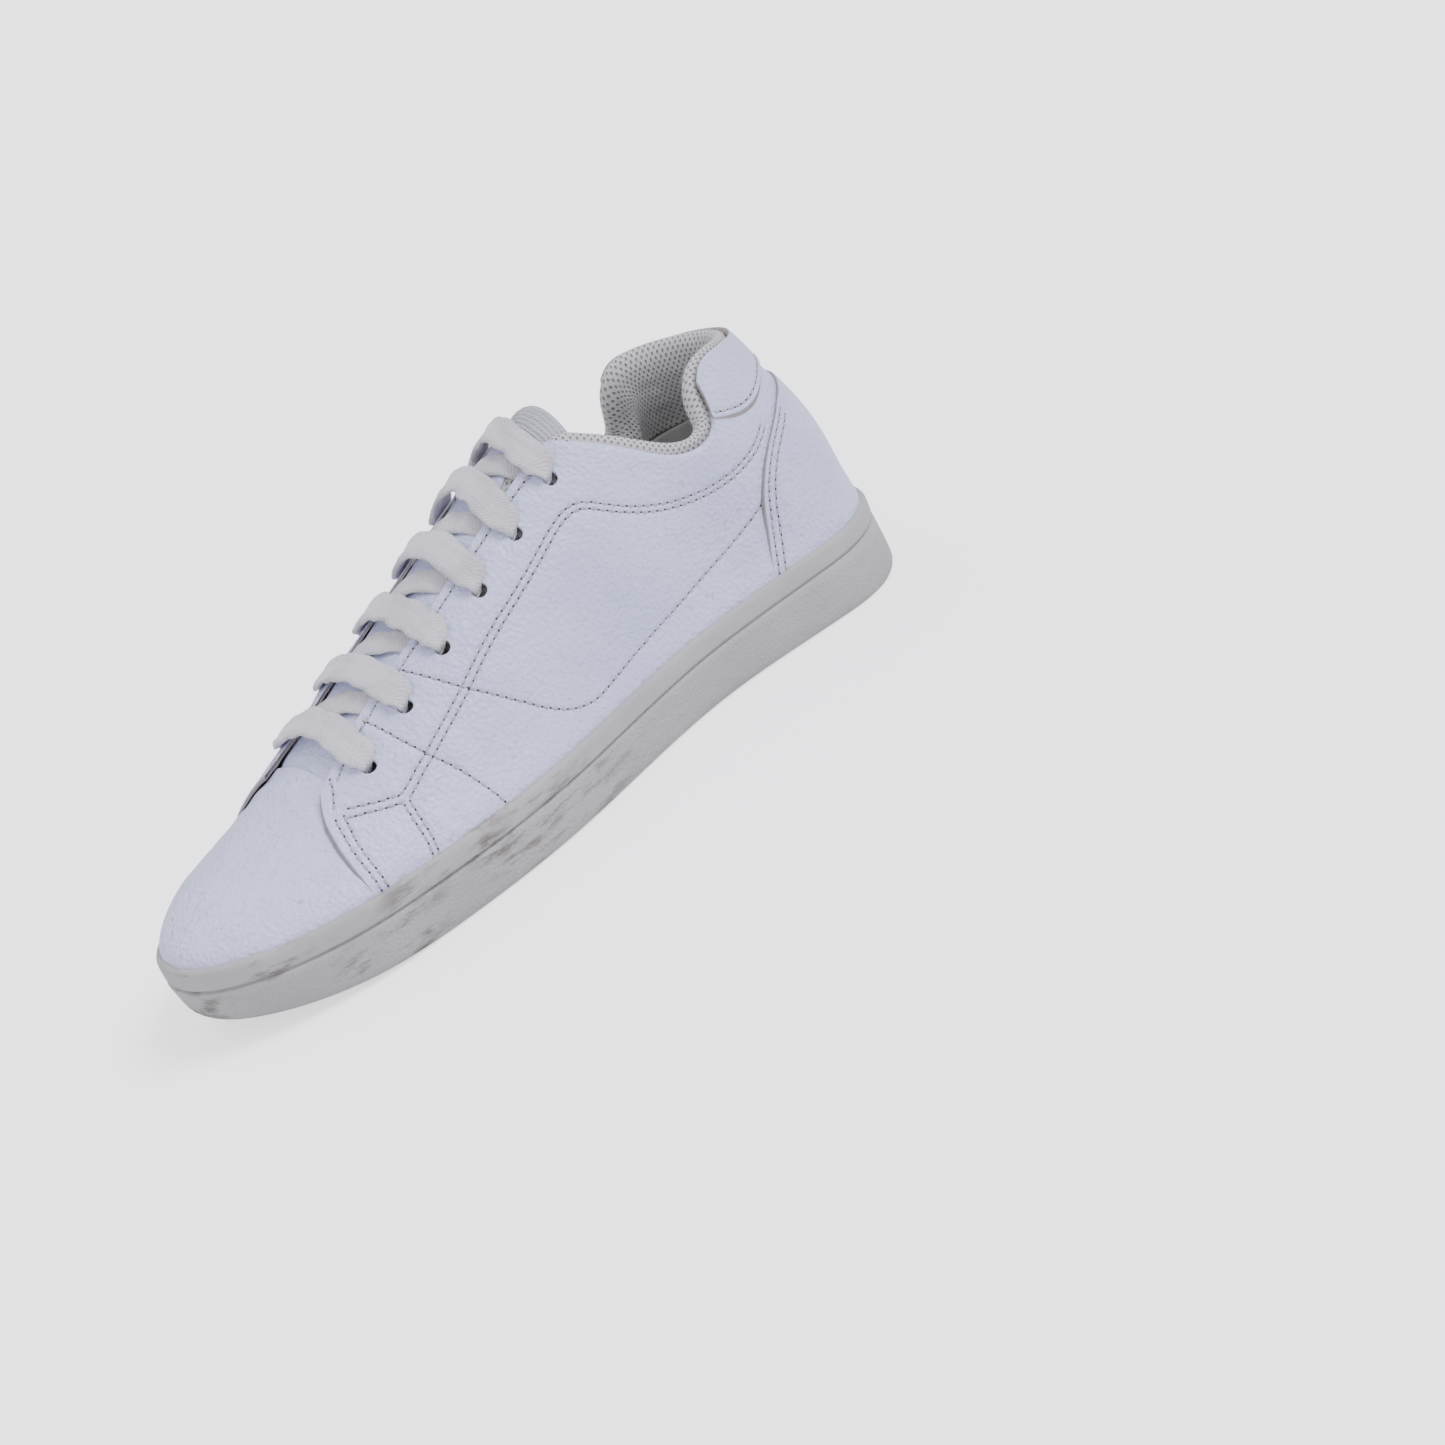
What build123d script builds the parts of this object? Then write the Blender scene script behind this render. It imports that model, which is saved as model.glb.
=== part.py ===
"""Low leather court shoe for the right foot, in millimetres.

Frame: origin on the ground under the middle of the sole, +Z up, +Y towards the heel, +X towards the
inner (medial) side of the foot. The upper is a stack of thin layers that all follow one foot form.
A layer is named by how far it lies outside (+) or inside (-) the outer face of the quarter leather.
"""
from build123d import *
import os
from math import atan2, cos, degrees, pi

import numpy as np
from scipy.interpolate import CubicSpline

os.makedirs("parts", exist_ok=True)

# ---------------------------------------------------------------- driving dimensions
SOLE_LENGTH = 280.0
TOE, HEEL = -SOLE_LENGTH / 2, SOLE_LENGTH / 2
FOXING = 5.0  # from the sole's outline in to the quarter's outer face
TOE_FOXING = 3.6  # the same at the tip of the toe
WIDEST = 17.0  # the foot form is widest up to this height
FORM_BASE, FORM_TOP = 11.0, 104.5
CAP = 2.3  # how square the rounded toe and heel ends are; 2 would be an ellipse
FLOOR = 4.5  # rubber under the foam
TREAD_DEPTH = 1.2
GAP = 0.1  # glue line between two pieces

# layers of the upper as (inner face, outer face)
OVERLAY = (GAP, 1.3)
QUARTER = (-1.4, 0.0)
MIDDLE = (-2.9, -1.5)
PUFF = (-3.9, -3.0)
VAMP_LINING = (-5.1, -4.0)
QUARTER_LINING = (-4.2, -3.0)
TONGUE_FACE = (-7.2, -6.0)
TONGUE_FOAM = (-10.2, -7.3)
TONGUE_LINING = (-11.3, -10.3)
TONGUE_ALL = (-11.3, -6.0)
TONGUE_ROOM = (-12.0, -5.6)
LABEL = (-5.9, -5.35)
LACE_OVER = (0.35, 1.85)
LACE_UNDER = (-5.85, -4.35)
COLLAR_FACE = -1.5
COLLAR_SKIN = 0.9  # thickness of the mesh sleeve round the collar foam

# lacing
EYELET_ROWS = 6
EYELET_FIRST = (-65.0, 47.0)  # (y, z) of the eyelet nearest the toe
EYELET_STEP = (19.0, 8.1)
EYELET_RADIUS = 2.4
LACE_WIDTH = 7.6
LACE_BUNCHED = 2.2  # radius of the lace where it is gathered inside an eyelet

# ---------------------------------------------------------------- curves along the shoe


def smooth(*points):
    """Natural cubic curve through (position, value) points."""
    places, values = np.array(points).T
    curve = CubicSpline(places, values, bc_type="natural")
    return lambda place: float(curve(place))


half_width = smooth((-140, 33), (-100, 42.2), (-60, 49.3), (-25, 50), (10, 45), (45, 39),
                    (80, 36.5), (110, 36), (140, 34))
centre_line = smooth((-140, 14.5), (-100, 7.3), (-60, 1.7), (-25, -1.5), (10, -4), (45, -4.5),
                     (80, -2), (110, 0), (140, 0))
foxing_top = smooth((-140, 26), (-100, 23), (-50, 22), (20, 22.5), (80, 24), (140, 25.5))
footbed = smooth((-140, 17.5), (-100, 14.6), (-50, 13), (20, 14.4), (80, 16.6), (140, 17.6))
ridge_height = smooth((-135, 35.5), (-120, 39.3), (-100, 42.5), (-80, 48), (-60, 56.5), (-30, 71),
                      (0, 86), (30, 100), (60, 112), (100, 126), (140, 132))
heel_back = smooth((0, 134), (20, 135), (42, 135), (60, 131.5), (80, 122.5), (92, 116.5), (110, 108))
side_power = smooth((-140, 2.3), (-90, 2.2), (-40, 2.0), (10, 1.95), (50, 2.0), (140, 2.2))
rise_power = smooth((-140, 2.3), (-90, 2.1), (-40, 1.85), (10, 1.9), (50, 2.4), (140, 3.0))
RIDGE_CENTRE = 1.5  # x of the instep ridge
TOE_ROUND = 112.0  # the toe box rounds down from this far in front of the origin
SPRING_START, SPRING = -70.0, 8.0  # the sole curves up from here, by this much at the toe


def end_cap(place, start, end, power=CAP):
    """1 up to start, then falling to 0 at end like a quarter of a superellipse."""
    share = min(max((place - start) / (end - start), 0.0), 1.0)
    return (1 - share**power) ** (1 / power)


def sole_half(y, grow):
    """Half width of the sole's outline."""
    ends = end_cap(-y, 85, HEEL + grow) * end_cap(y, 102, HEEL + grow)
    return (half_width(y) + grow) * ends


def ridge(y, grow):
    """Height of the foot form's top line."""
    share = end_cap(-y, TOE_ROUND, -TOE - TOE_FOXING + grow, 2.3)
    return WIDEST + (ridge_height(y) + grow - WIDEST) * share


def form_half(y, z, grow):
    """Half width of the foot form at a place and height."""
    rise = min(max((z - WIDEST) / max(ridge(y, grow) - WIDEST, 1e-6), 0.0), 1.0)
    side = (1 - rise ** rise_power(y)) ** (1 / side_power(y))
    plan = (half_width(y) - FOXING + grow) * end_cap(-y, 85, -TOE - TOE_FOXING + grow)
    back = heel_back(z) + grow
    return plan * side * end_cap(y, min(95, back - 14), back)


def form_centre(y, z):
    """Middle of the foot form, which leans in towards the instep ridge."""
    lean = min(max((z - 20) / 50, 0.0), 1.0)
    return centre_line(y) * (1 - lean) + RIDGE_CENTRE * lean


def blend(y, start, end, before, after):
    """Value that passes smoothly from before to after between two places."""
    share = min(max((y - start) / (end - start), 0.0), 1.0)
    return before + (after - before) * share * share * (3 - 2 * share)


def cup_wall(y):
    """Inner face of the cup sole's wall: it hugs the vamp, then the quarter, then the heel overlay."""
    return blend(y, -98, -89, MIDDLE[1] + 0.35, 0.25) + blend(y, 68, 79, 0, OVERLAY[1])


def collar_inside(y):
    """The collar is thin at the eyestays and fully padded round the ankle."""
    return blend(y, 50, 70, -5.2, -9.2)


def pocket_inside(y):
    return collar_inside(y) + COLLAR_SKIN


def foam_inside(y):
    return collar_inside(y) + COLLAR_SKIN + GAP


def insole_edge(y):
    return blend(y, 20, 80, -8.4, -6.6)


# ---------------------------------------------------------------- outlines and solids

SIDE_REACH = 80.0  # cuts made from the side reach this far out from the middle plane
FORM_LEVELS = [FORM_BASE, 14, 17, 20, 23, 26, 28.5, 31, 33.5, 36, 38.5, 41, 44, 47.5, 51.5, 56, 61, 67,
               74, 82, 90, 97, FORM_TOP]


def form_front(z, grow):
    """Where the top line of the form reaches a height, found by halving."""
    low, high = TOE + TOE_FOXING - grow(TOE), 95.0
    for _ in range(40):
        middle = (low + high) / 2
        if ridge(middle, grow(middle)) < z:
            low = middle
        else:
            high = middle
    return high


def closed_outline(places, middle, half):
    """Points round an outline that is given by its middle and half width along the shoe."""
    ends = (places[0], places[-1])
    halves = [0.0 if y in ends else half(y) for y in places]
    inner = [(middle(y) + reach, y) for y, reach in zip(places, halves)]
    outer = [(middle(y) - reach, y) for y, reach in zip(places, halves)]
    return inner + outer[-2:0:-1]


def spread(start, end, steps):
    """Places from start to end, closer together at both ends."""
    return [start + (end - start) * (1 - cos(pi * i / steps)) / 2 for i in range(steps + 1)]


def smooth_loop(points):
    """Closed curve whose points are evenly spaced in parameter, so stacked loops match up."""
    add(Edge.make_spline(points, periodic=True, parameters=[i / len(points) for i in range(len(points) + 1)]))


def form_outline(z, grow):
    places = spread(form_front(z, grow), heel_back(z) + grow(HEEL), 26)
    return closed_outline(places, lambda y: form_centre(y, z), lambda y: form_half(y, z, grow(y)))


def sole_outline(grow):
    return closed_outline(spread(TOE - grow, HEEL + grow, 30), centre_line, lambda y: sole_half(y, grow))


def side_curve(height, extra=0.0):
    """Points of a line seen from the side, a fixed amount above a height curve."""
    places = [-150 + 20 * i for i in range(16)]
    return [(y, height(min(max(y, TOE), HEEL)) + extra) for y in places]


def keep_above(height, extra=0.0):
    """Trim the current part to what lies above a line seen from the side."""
    with BuildSketch(Plane.YZ) as area:
        with BuildLine():
            low = Spline(*side_curve(height, extra))
            Polyline(low @ 1, (150, FORM_TOP + 5), (-150, FORM_TOP + 5), low @ 0)
        make_face()
    extrude(area.sketch, amount=SIDE_REACH, both=True, mode=Mode.INTERSECT)


def keep_below(height, extra=0.0):
    """Trim the current part to what lies below a line seen from the side."""
    with BuildSketch(Plane.YZ) as area:
        with BuildLine():
            high = Spline(*side_curve(height, extra))
            Polyline(high @ 1, (150, -5), (-150, -5), high @ 0)
        make_face()
    extrude(area.sketch, amount=SIDE_REACH, both=True, mode=Mode.INTERSECT)


def keep_side(side):
    """Trim the current part to one side of the shoe."""
    with BuildSketch(Plane.YZ) as area:
        Rectangle(2 * SOLE_LENGTH, 2 * SOLE_LENGTH)
    extrude(area.sketch, amount=side * SIDE_REACH, mode=Mode.INTERSECT)


def side_region(*runs):
    """Trim the current part to a region seen from the side, bounded by smooth runs of points."""
    with BuildSketch(Plane.YZ) as area:
        with BuildLine():
            for run, following in zip(runs, runs[1:] + runs[:1]):
                if len(run) > 2:
                    Spline(*run)
                else:
                    Line(*run)
                if following[0] != run[-1]:
                    Line(run[-1], following[0])
        make_face()
    extrude(area.sketch, amount=SIDE_REACH, both=True, mode=Mode.INTERSECT)


def plan_region(half, places, mode=Mode.INTERSECT):
    """Region seen from above, mirrored about the instep ridge; half gives its half width."""
    with BuildSketch() as area:
        with BuildLine():
            right = Spline(*[(RIDGE_CENTRE + half(y), y) for y in places])
            left = Spline(*[(RIDGE_CENTRE - half(y), y) for y in places])
            Line(right @ 0, left @ 0)
            Line(right @ 1, left @ 1)
        make_face()
    extrude(area.sketch, amount=FORM_TOP + 5, mode=mode)


def outline_slab(points, bottom, top, mode=Mode.ADD):
    """Upright slab with a smooth closed outline."""
    with BuildSketch(Plane.XY.offset(bottom)) as area:
        with BuildLine():
            smooth_loop(points)
        make_face()
    extrude(area.sketch, amount=top - bottom, mode=mode)


def foot_form(grow):
    """Solid foot form, grown by a length or by a function of y.

    No deep layer reaches the toe, so a deep form stays fuller there.
    """
    grow_at = grow if callable(grow) else lambda y: blend(y, -125, -95, max(grow, -7.0), grow)
    with BuildPart() as form:
        for z in FORM_LEVELS:
            with BuildSketch(Plane.XY.offset(z)):
                with BuildLine():
                    smooth_loop(form_outline(z, grow_at))
                make_face()
        loft()
    return form.part


def add_layer(faces):
    """Shell between two growths of the foot form, standing on the footbed."""
    inner, outer = faces
    add(FORMS[outer])
    add(FORMS[inner], mode=Mode.SUBTRACT)
    keep_above(footbed)


def save(part, name):
    part.label = name
    export_step(part, f"parts/{name}.step")


# ---------------------------------------------------------------- pattern lines of the upper

EYELETS = [(EYELET_FIRST[0] + EYELET_STEP[0] * i, EYELET_FIRST[1] + EYELET_STEP[1] * i)
           for i in range(EYELET_ROWS)]
COLLAR_DROP = 5.0  # the topline is this much lower on the outer side of the ankle
COLLAR_RISE = 2.8  # the collar lining stands this far above the leather
TONGUE_FRONT, TONGUE_END = -86.0, 49.5

throat_half = smooth((-90, 21), (-78, 19.2), (-65, 15.8), (-39, 14.5), (0, 13.6), (30, 13.6), (60, 14.5))
tongue_half = smooth((-90, 22), (-50, 23), (0, 22), (30, 20.5), (50, 19.5))
tongue_rim = smooth((-140, 8), (-90, 18), (-62, 30), (-30, 43), (0, 56), (30, 69), (52, 77), (90, 84),
                    (140, 88))

FRONT_EDGE = [(-88, 5), (-88, 24), (-87.2, 34), (-83.6, 41.5), (-78.5, 46)]
COUNTER_EDGE = [(81, 5), (82.5, 24), (86.3, 35), (90, 47.5), (97.5, 59), (112, 69), (130, 74), (150, 77)]
TAB_EDGE = [(87, 77.2), (91, 75.6), (96, 74.6), (103, 75), (112, 78), (130, 81), (150, 83)]
HEEL_TOP = [(91, 89.5), (95, 92.4), (103, 93.6), (116, 92), (132, 90.5), (150, 89)]
COLLAR_SEAM = [(36.5, 84), (43, 74.8), (54, 67.6), (70, 62.8), (93, 64), (120, 67), (150, 70)]


def ankle_line(side):
    """The quarter's upper edge from the top of the eyestay to the heel tab."""
    drop = 0.0 if side > 0 else COLLAR_DROP
    return [(38.5, 95.6), (42, 93.6), (50, 88.3 - drop * 0.2), (59, 81.2 - drop * 0.7),
            (67, 75.6 - drop), (75, 73.2 - drop), (82, 74.6 - drop * 0.7), (86.6, 78.8 - drop * 0.3),
            (88.8, 84.2), (91, 89.5)]


def raised(points, lift):
    return [(y, z + lift) for y, z in points]


def tongue_outline(extra):
    """Half width of the tongue, whose rear corners are rounded."""
    return lambda y: (tongue_half(y) + extra) * end_cap(y, 26, TONGUE_END + extra, 3)


def eyelet_plane(y, z, side):
    """Plane on the quarter's face at an eyelet, its normal pointing out of the shoe."""

    def on_face(yy, zz):
        return Vector(form_centre(yy, zz) + side * form_half(yy, zz, 0.0), yy, zz)

    along = on_face(y + 0.5, z) - on_face(y - 0.5, z)
    up = on_face(y, z + 0.5) - on_face(y, z - 0.5)
    return Plane(origin=on_face(y, z), x_dir=along, z_dir=along.cross(up) * side)


def cut_eyelets(side):
    for y, z in EYELETS:
        with BuildSketch(eyelet_plane(y, z, side)) as hole:
            Circle(EYELET_RADIUS)
        extrude(hole.sketch, amount=7, both=True, mode=Mode.SUBTRACT)


def cut_throat(clearance=0.0):
    places = [-90, -78, -65, -39, 0, 30, 60]
    plan_region(lambda y: throat_half(y) + clearance, places, mode=Mode.SUBTRACT)


# the foot form at every growth that bounds a layer
LAYERS = (OVERLAY, QUARTER, MIDDLE, PUFF, VAMP_LINING, QUARTER_LINING, TONGUE_FACE, TONGUE_FOAM,
          TONGUE_LINING, TONGUE_ALL, TONGUE_ROOM, LABEL, LACE_OVER, LACE_UNDER, (collar_inside, COLLAR_FACE),
          (pocket_inside, COLLAR_FACE - COLLAR_SKIN), (foam_inside, COLLAR_FACE - COLLAR_SKIN - GAP),
          (cup_wall, cup_wall))
FORMS = {grow: foot_form(grow) for grow in {face for faces in LAYERS for face in faces}}

# ---------------------------------------------------------------- sole

SOLE_TOP = 34.0
BOTTOM_INSET = 3.0
GROOVE_DROP, GROOVE_HIGH, GROOVE_DEEP = 6.6, 0.7, 0.6
CHEVRONS = [-126, -117, -108, -99, -90, -10, 0, 10, 20, 75, 85, 95, 105, 115]
PIVOT = (4.0, -50.0)  # centre of the rings under the ball of the foot


def sole_bottom(y):
    share = max(SPRING_START - y, 0.0) / (SPRING_START - TOE)
    return SPRING * share * share


# grooves in the ground face: rings to pivot on, chevrons in front of and behind them
with BuildPart() as tread:
    with BuildSketch():
        for y in CHEVRONS:
            for side in (-1, 1):
                with Locations((centre_line(y) + side * 16, y)):
                    Rectangle(36, 2, rotation=side * 22)
        with Locations(PIVOT):
            Circle(33, mode=Mode.SUBTRACT)
    extrude(amount=SOLE_TOP)
    outline_slab(sole_outline(-10), 0, SOLE_TOP, mode=Mode.INTERSECT)
    with BuildSketch():
        for radius in (6, 13, 20, 27):
            with Locations(PIVOT):
                Circle(radius)
                Circle(radius - 2, mode=Mode.SUBTRACT)
    extrude(amount=SOLE_TOP)
    keep_below(sole_bottom, TREAD_DEPTH)

with BuildPart() as groove_ring:
    outline_slab(sole_outline(4), 0, SOLE_TOP)
    outline_slab(sole_outline(-GROOVE_DEEP), 0, SOLE_TOP, mode=Mode.SUBTRACT)
    keep_above(foxing_top, -GROOVE_DROP - GROOVE_HIGH)
    keep_below(foxing_top, -GROOVE_DROP)

with BuildPart() as cup_hollow:
    outline_slab(form_outline(FORM_BASE, cup_wall), 0, FORM_BASE)
    add(FORMS[cup_wall])
    keep_above(sole_bottom, FLOOR)

with BuildPart() as cup_outsole:
    for z, grow in ((-2, -BOTTOM_INSET - 0.4), (3, -BOTTOM_INSET + 0.6), (10, -0.9), (18, 0), (SOLE_TOP, 0)):
        with BuildSketch(Plane.XY.offset(z)):
            with BuildLine():
                smooth_loop(sole_outline(grow))
            make_face()
    loft()
    with BuildSketch(Plane.YZ):
        with BuildLine():
            spring = Spline(*[(y, sole_bottom(y)) for y in (-150, -125, -100, SPRING_START)],
                            tangents=[(1, -0.26), (1, 0)])
            ground = Line(spring @ 1, (150, 0))
            rim = Spline(*side_curve(foxing_top))
            Line(ground @ 1, rim @ 1)
            Line(rim @ 0, spring @ 0)
        make_face()
    extrude(amount=SIDE_REACH, both=True, mode=Mode.INTERSECT)
    add(groove_ring.part, mode=Mode.SUBTRACT)
    add(cup_hollow.part, mode=Mode.SUBTRACT)
    add(tread.part, mode=Mode.SUBTRACT)
save(cup_outsole.part, "cup_outsole")

with BuildPart() as midsole_foam:
    outline_slab(form_outline(FORM_BASE, lambda y: cup_wall(y) - 0.6), 0, 40)
    keep_above(sole_bottom, FLOOR + GAP)
    keep_below(footbed, -GAP)
save(midsole_foam.part, "midsole_foam")

# thicknesses of the pieces the foot stands on, and their outlines as growths of the foot form
BOARD, INSOLE, COVER = 1.5, 3.4, 0.8
FOOTBED_PIECES = (
    ("lasting_board", lambda y: VAMP_LINING[0] - 1.0, 0.0, BOARD),
    ("insole_foam", insole_edge, BOARD + GAP, INSOLE),
    ("insole_cover", insole_edge, BOARD + INSOLE + 2 * GAP, COVER),
)

for name, edge, lift, thick in FOOTBED_PIECES:
    with BuildPart() as piece:
        outline_slab(form_outline(WIDEST, edge), 0, 40)
        keep_above(footbed, lift)
        keep_below(footbed, lift + thick)
    save(piece.part, name)

# ---------------------------------------------------------------- vamp

VAMP_REAR = -74.0

with BuildPart() as toe_vamp:
    add_layer(MIDDLE)
    side_region([(-150, 0), (VAMP_REAR, 0)], [(VAMP_REAR, FORM_TOP), (-150, FORM_TOP)])
save(toe_vamp.part, "toe_vamp")

with BuildPart() as toe_puff:
    add_layer(PUFF)
    side_region([(-150, 0), (-104, 0)], [(-104, 22), (-107, 34), (-112, 60)], [(-150, 60), (-150, 0)])
save(toe_puff.part, "toe_puff")

with BuildPart() as vamp_lining:
    add_layer(VAMP_LINING)
    side_region([(-150, 0), (VAMP_REAR - 3, 0)], [(VAMP_REAR - 3, FORM_TOP), (-150, FORM_TOP)])
save(vamp_lining.part, "vamp_lining")

# ---------------------------------------------------------------- quarters

LINING_FRONT = VAMP_REAR + 1
LINING_REAR = 35.0  # the stays and the quarter linings stop here, in front of the collar
SIDES = (("medial", 1), ("lateral", -1))

for name, side in SIDES:
    with BuildPart() as quarter:
        add_layer(QUARTER)
        keep_side(side)
        side_region(FRONT_EDGE, [(-78.5, FORM_TOP), (38.5, FORM_TOP)], ankle_line(side), HEEL_TOP,
                    [(150, 0), (-88, 0)])
        cut_throat()
        cut_eyelets(side)
    save(quarter.part, f"quarter_{name}")

    with BuildPart() as stay:
        add_layer(MIDDLE)
        keep_side(side)
        side_region([(LINING_FRONT, 34), (-50, 42), (-20, 55), (10, 68), (LINING_REAR, 80)],
                    [(LINING_REAR, FORM_TOP), (LINING_FRONT, FORM_TOP)])
        cut_throat(0.6)
        cut_eyelets(side)
    save(stay.part, f"eyelet_stay_{name}")

    with BuildPart() as lining:
        add_layer(QUARTER_LINING)
        keep_side(side)
        side_region([(LINING_FRONT, 0), (LINING_FRONT, FORM_TOP)],
                    [(LINING_REAR, FORM_TOP), (LINING_REAR, 83)],
                    raised(COLLAR_SEAM, -1.2), [(150, 0), (LINING_FRONT, 0)])
        cut_throat(0.6)
        cut_eyelets(side)
    save(lining.part, f"quarter_lining_{name}")

# ---------------------------------------------------------------- padded collar


def collar_region(side, inset):
    """Band along the topline seen from the side, drawn in by inset all round."""
    rise = COLLAR_RISE - inset
    seam = [(y + inset, z) for y, z in raised(COLLAR_SEAM, inset)]
    top = [(y + inset if y < 40 else y, z) for y, z in raised(ankle_line(side), rise)]
    side_region(seam, raised(HEEL_TOP, rise)[::-1], top[::-1])


with BuildPart() as collar_pocket:
    add_layer((pocket_inside, COLLAR_FACE - COLLAR_SKIN))
with BuildPart() as collar_shell:
    add_layer((collar_inside, COLLAR_FACE))
with BuildPart() as collar_fill:
    add_layer((foam_inside, COLLAR_FACE - COLLAR_SKIN - GAP))


def collar_halves(source, inset):
    halves = []
    for _, side in SIDES:
        with BuildPart() as half:
            add(source)
            keep_side(side)
            collar_region(side, inset)
        halves.append(half.part)
    return halves


with BuildPart() as collar_lining:
    add(collar_halves(collar_shell.part, 0.0))
    add(collar_halves(collar_pocket.part, COLLAR_SKIN), mode=Mode.SUBTRACT)
save(collar_lining.part, "collar_lining")

with BuildPart() as collar_foam:
    add(collar_halves(collar_fill.part, COLLAR_SKIN + GAP))
save(collar_foam.part, "collar_foam")

# ---------------------------------------------------------------- heel pieces

with BuildPart() as counter_stiffener:
    add_layer(MIDDLE)
    side_region([(70, 0), (72, 30), (80, 48), (93, 58), (120, 62), (150, 64)], [(150, 0), (70, 0)])
save(counter_stiffener.part, "counter_stiffener")

with BuildPart() as heel_counter:
    add_layer(OVERLAY)
    side_region(COUNTER_EDGE, [(150, 0), (81, 0)])
save(heel_counter.part, "heel_counter")

with BuildPart() as heel_tab:
    add_layer(OVERLAY)
    side_region([(87, 77.2), (88.8, 84.2), (91, 89.5)], HEEL_TOP, TAB_EDGE[::-1])
save(heel_tab.part, "heel_tab")

# ---------------------------------------------------------------- tongue


def tongue_places(start, extra):
    """Places from start to the tongue's rear end, close together where its corners round off."""
    end = TONGUE_END + extra
    return [start, -40, 0, 26, 34, 40, 44, end - 2.5, end - 0.9, end - 0.2]


def tongue_blank(faces, start, extra):
    """One layer of the tongue; its sides end on the rim line, lowered by extra."""
    with BuildPart() as blank:
        add_layer(faces)
        keep_above(tongue_rim, -extra)
        plan_region(tongue_outline(extra), tongue_places(start, extra))
    return blank.part


save(tongue_blank(TONGUE_FACE, TONGUE_FRONT, 0), "tongue_face")
save(tongue_blank(TONGUE_FOAM, -60, -2), "tongue_foam")
save(tongue_blank(TONGUE_LINING, -62, 0), "tongue_lining")

with BuildPart() as tongue_binding:
    add(tongue_blank(TONGUE_ALL, -62, 2.2))
    add(tongue_blank(TONGUE_ROOM, -70, GAP), mode=Mode.SUBTRACT)
save(tongue_binding.part, "tongue_binding")

with BuildPart() as tongue_label:
    add_layer(LABEL)
    plan_region(lambda y: 13.0, [34.5, 38, 42, 46])
save(tongue_label.part, "tongue_label")

# ---------------------------------------------------------------- lace


def eyelet_x(row, side):
    y, z = EYELETS[row]
    return form_centre(y, z) + side * form_half(y, z, 0.0)


with BuildPart() as lace_under:
    add_layer(LACE_UNDER)
    with BuildSketch():
        for row in range(EYELET_ROWS - 1):
            start = Vector(eyelet_x(row, -1), EYELETS[row][0])
            end = Vector(eyelet_x(row + 1, 1), EYELETS[row + 1][0])
            middle = (start + end) / 2
            with Locations((middle.X, middle.Y)):
                slant = degrees(atan2(end.Y - start.Y, end.X - start.X))
                SlotCenterToCenter((end - start).length, LACE_WIDTH, rotation=slant)
    extrude(amount=FORM_TOP + 5, mode=Mode.INTERSECT)

with BuildPart() as lace:
    add_layer(LACE_OVER)
    with BuildSketch():
        for row, (y, z) in enumerate(EYELETS):
            reach = eyelet_x(row, 1) - eyelet_x(row, -1)
            with Locations((eyelet_x(row, -1) + reach / 2, y)):
                SlotCenterToCenter(reach, LACE_WIDTH)
    extrude(amount=FORM_TOP + 5, mode=Mode.INTERSECT)
    add(lace_under.part)
    for side in (1, -1):
        for y, z in EYELETS:
            with BuildSketch(eyelet_plane(y, z, side).offset(LACE_UNDER[0] + 0.75)):
                Circle(LACE_BUNCHED)
            extrude(amount=LACE_OVER[1] - LACE_UNDER[0] - 1.5)
save(lace.part, "lace")
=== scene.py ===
"""Looks for the court shoe: every visible piece is built here as a fine mesh on one foot form.

Lengths are in millimetres until a mesh is made. +Z is up, +Y runs to the heel, +X to the inner side.
A place on the upper is given as (tau, v, g): tau runs from the toe along the inner side, round the
heel and back along the outer side; v climbs from the sole (0) to the instep ridge (1); g is how far
the place lies outside the quarter's outer face.
"""

import bmesh
import bpy
import numpy as np
from math import cos, exp, pi, radians, sin
from mathutils import Matrix, Vector
from mathutils.bvhtree import BVHTree
from mathutils.kdtree import KDTree


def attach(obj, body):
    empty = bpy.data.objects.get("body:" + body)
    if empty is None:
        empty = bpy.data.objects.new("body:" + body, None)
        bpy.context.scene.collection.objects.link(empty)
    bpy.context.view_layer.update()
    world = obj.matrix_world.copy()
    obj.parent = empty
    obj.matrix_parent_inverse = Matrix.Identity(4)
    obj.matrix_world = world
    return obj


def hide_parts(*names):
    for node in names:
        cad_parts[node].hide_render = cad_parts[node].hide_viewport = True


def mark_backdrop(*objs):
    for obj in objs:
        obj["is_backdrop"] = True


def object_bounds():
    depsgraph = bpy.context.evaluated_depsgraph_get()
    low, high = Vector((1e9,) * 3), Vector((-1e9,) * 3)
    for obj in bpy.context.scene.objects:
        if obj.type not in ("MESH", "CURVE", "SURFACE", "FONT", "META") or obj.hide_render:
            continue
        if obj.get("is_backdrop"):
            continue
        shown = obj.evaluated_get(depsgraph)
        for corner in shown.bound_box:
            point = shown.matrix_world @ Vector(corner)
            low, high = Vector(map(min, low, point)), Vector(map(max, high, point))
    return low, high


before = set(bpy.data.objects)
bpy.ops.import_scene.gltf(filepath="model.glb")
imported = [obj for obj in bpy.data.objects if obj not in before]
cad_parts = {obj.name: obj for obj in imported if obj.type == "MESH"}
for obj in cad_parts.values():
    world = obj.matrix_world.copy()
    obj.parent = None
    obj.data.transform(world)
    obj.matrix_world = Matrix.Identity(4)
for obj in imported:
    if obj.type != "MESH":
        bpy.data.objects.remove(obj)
cad_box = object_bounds()
rng = np.random.default_rng(7)

# ---- foot form


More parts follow.
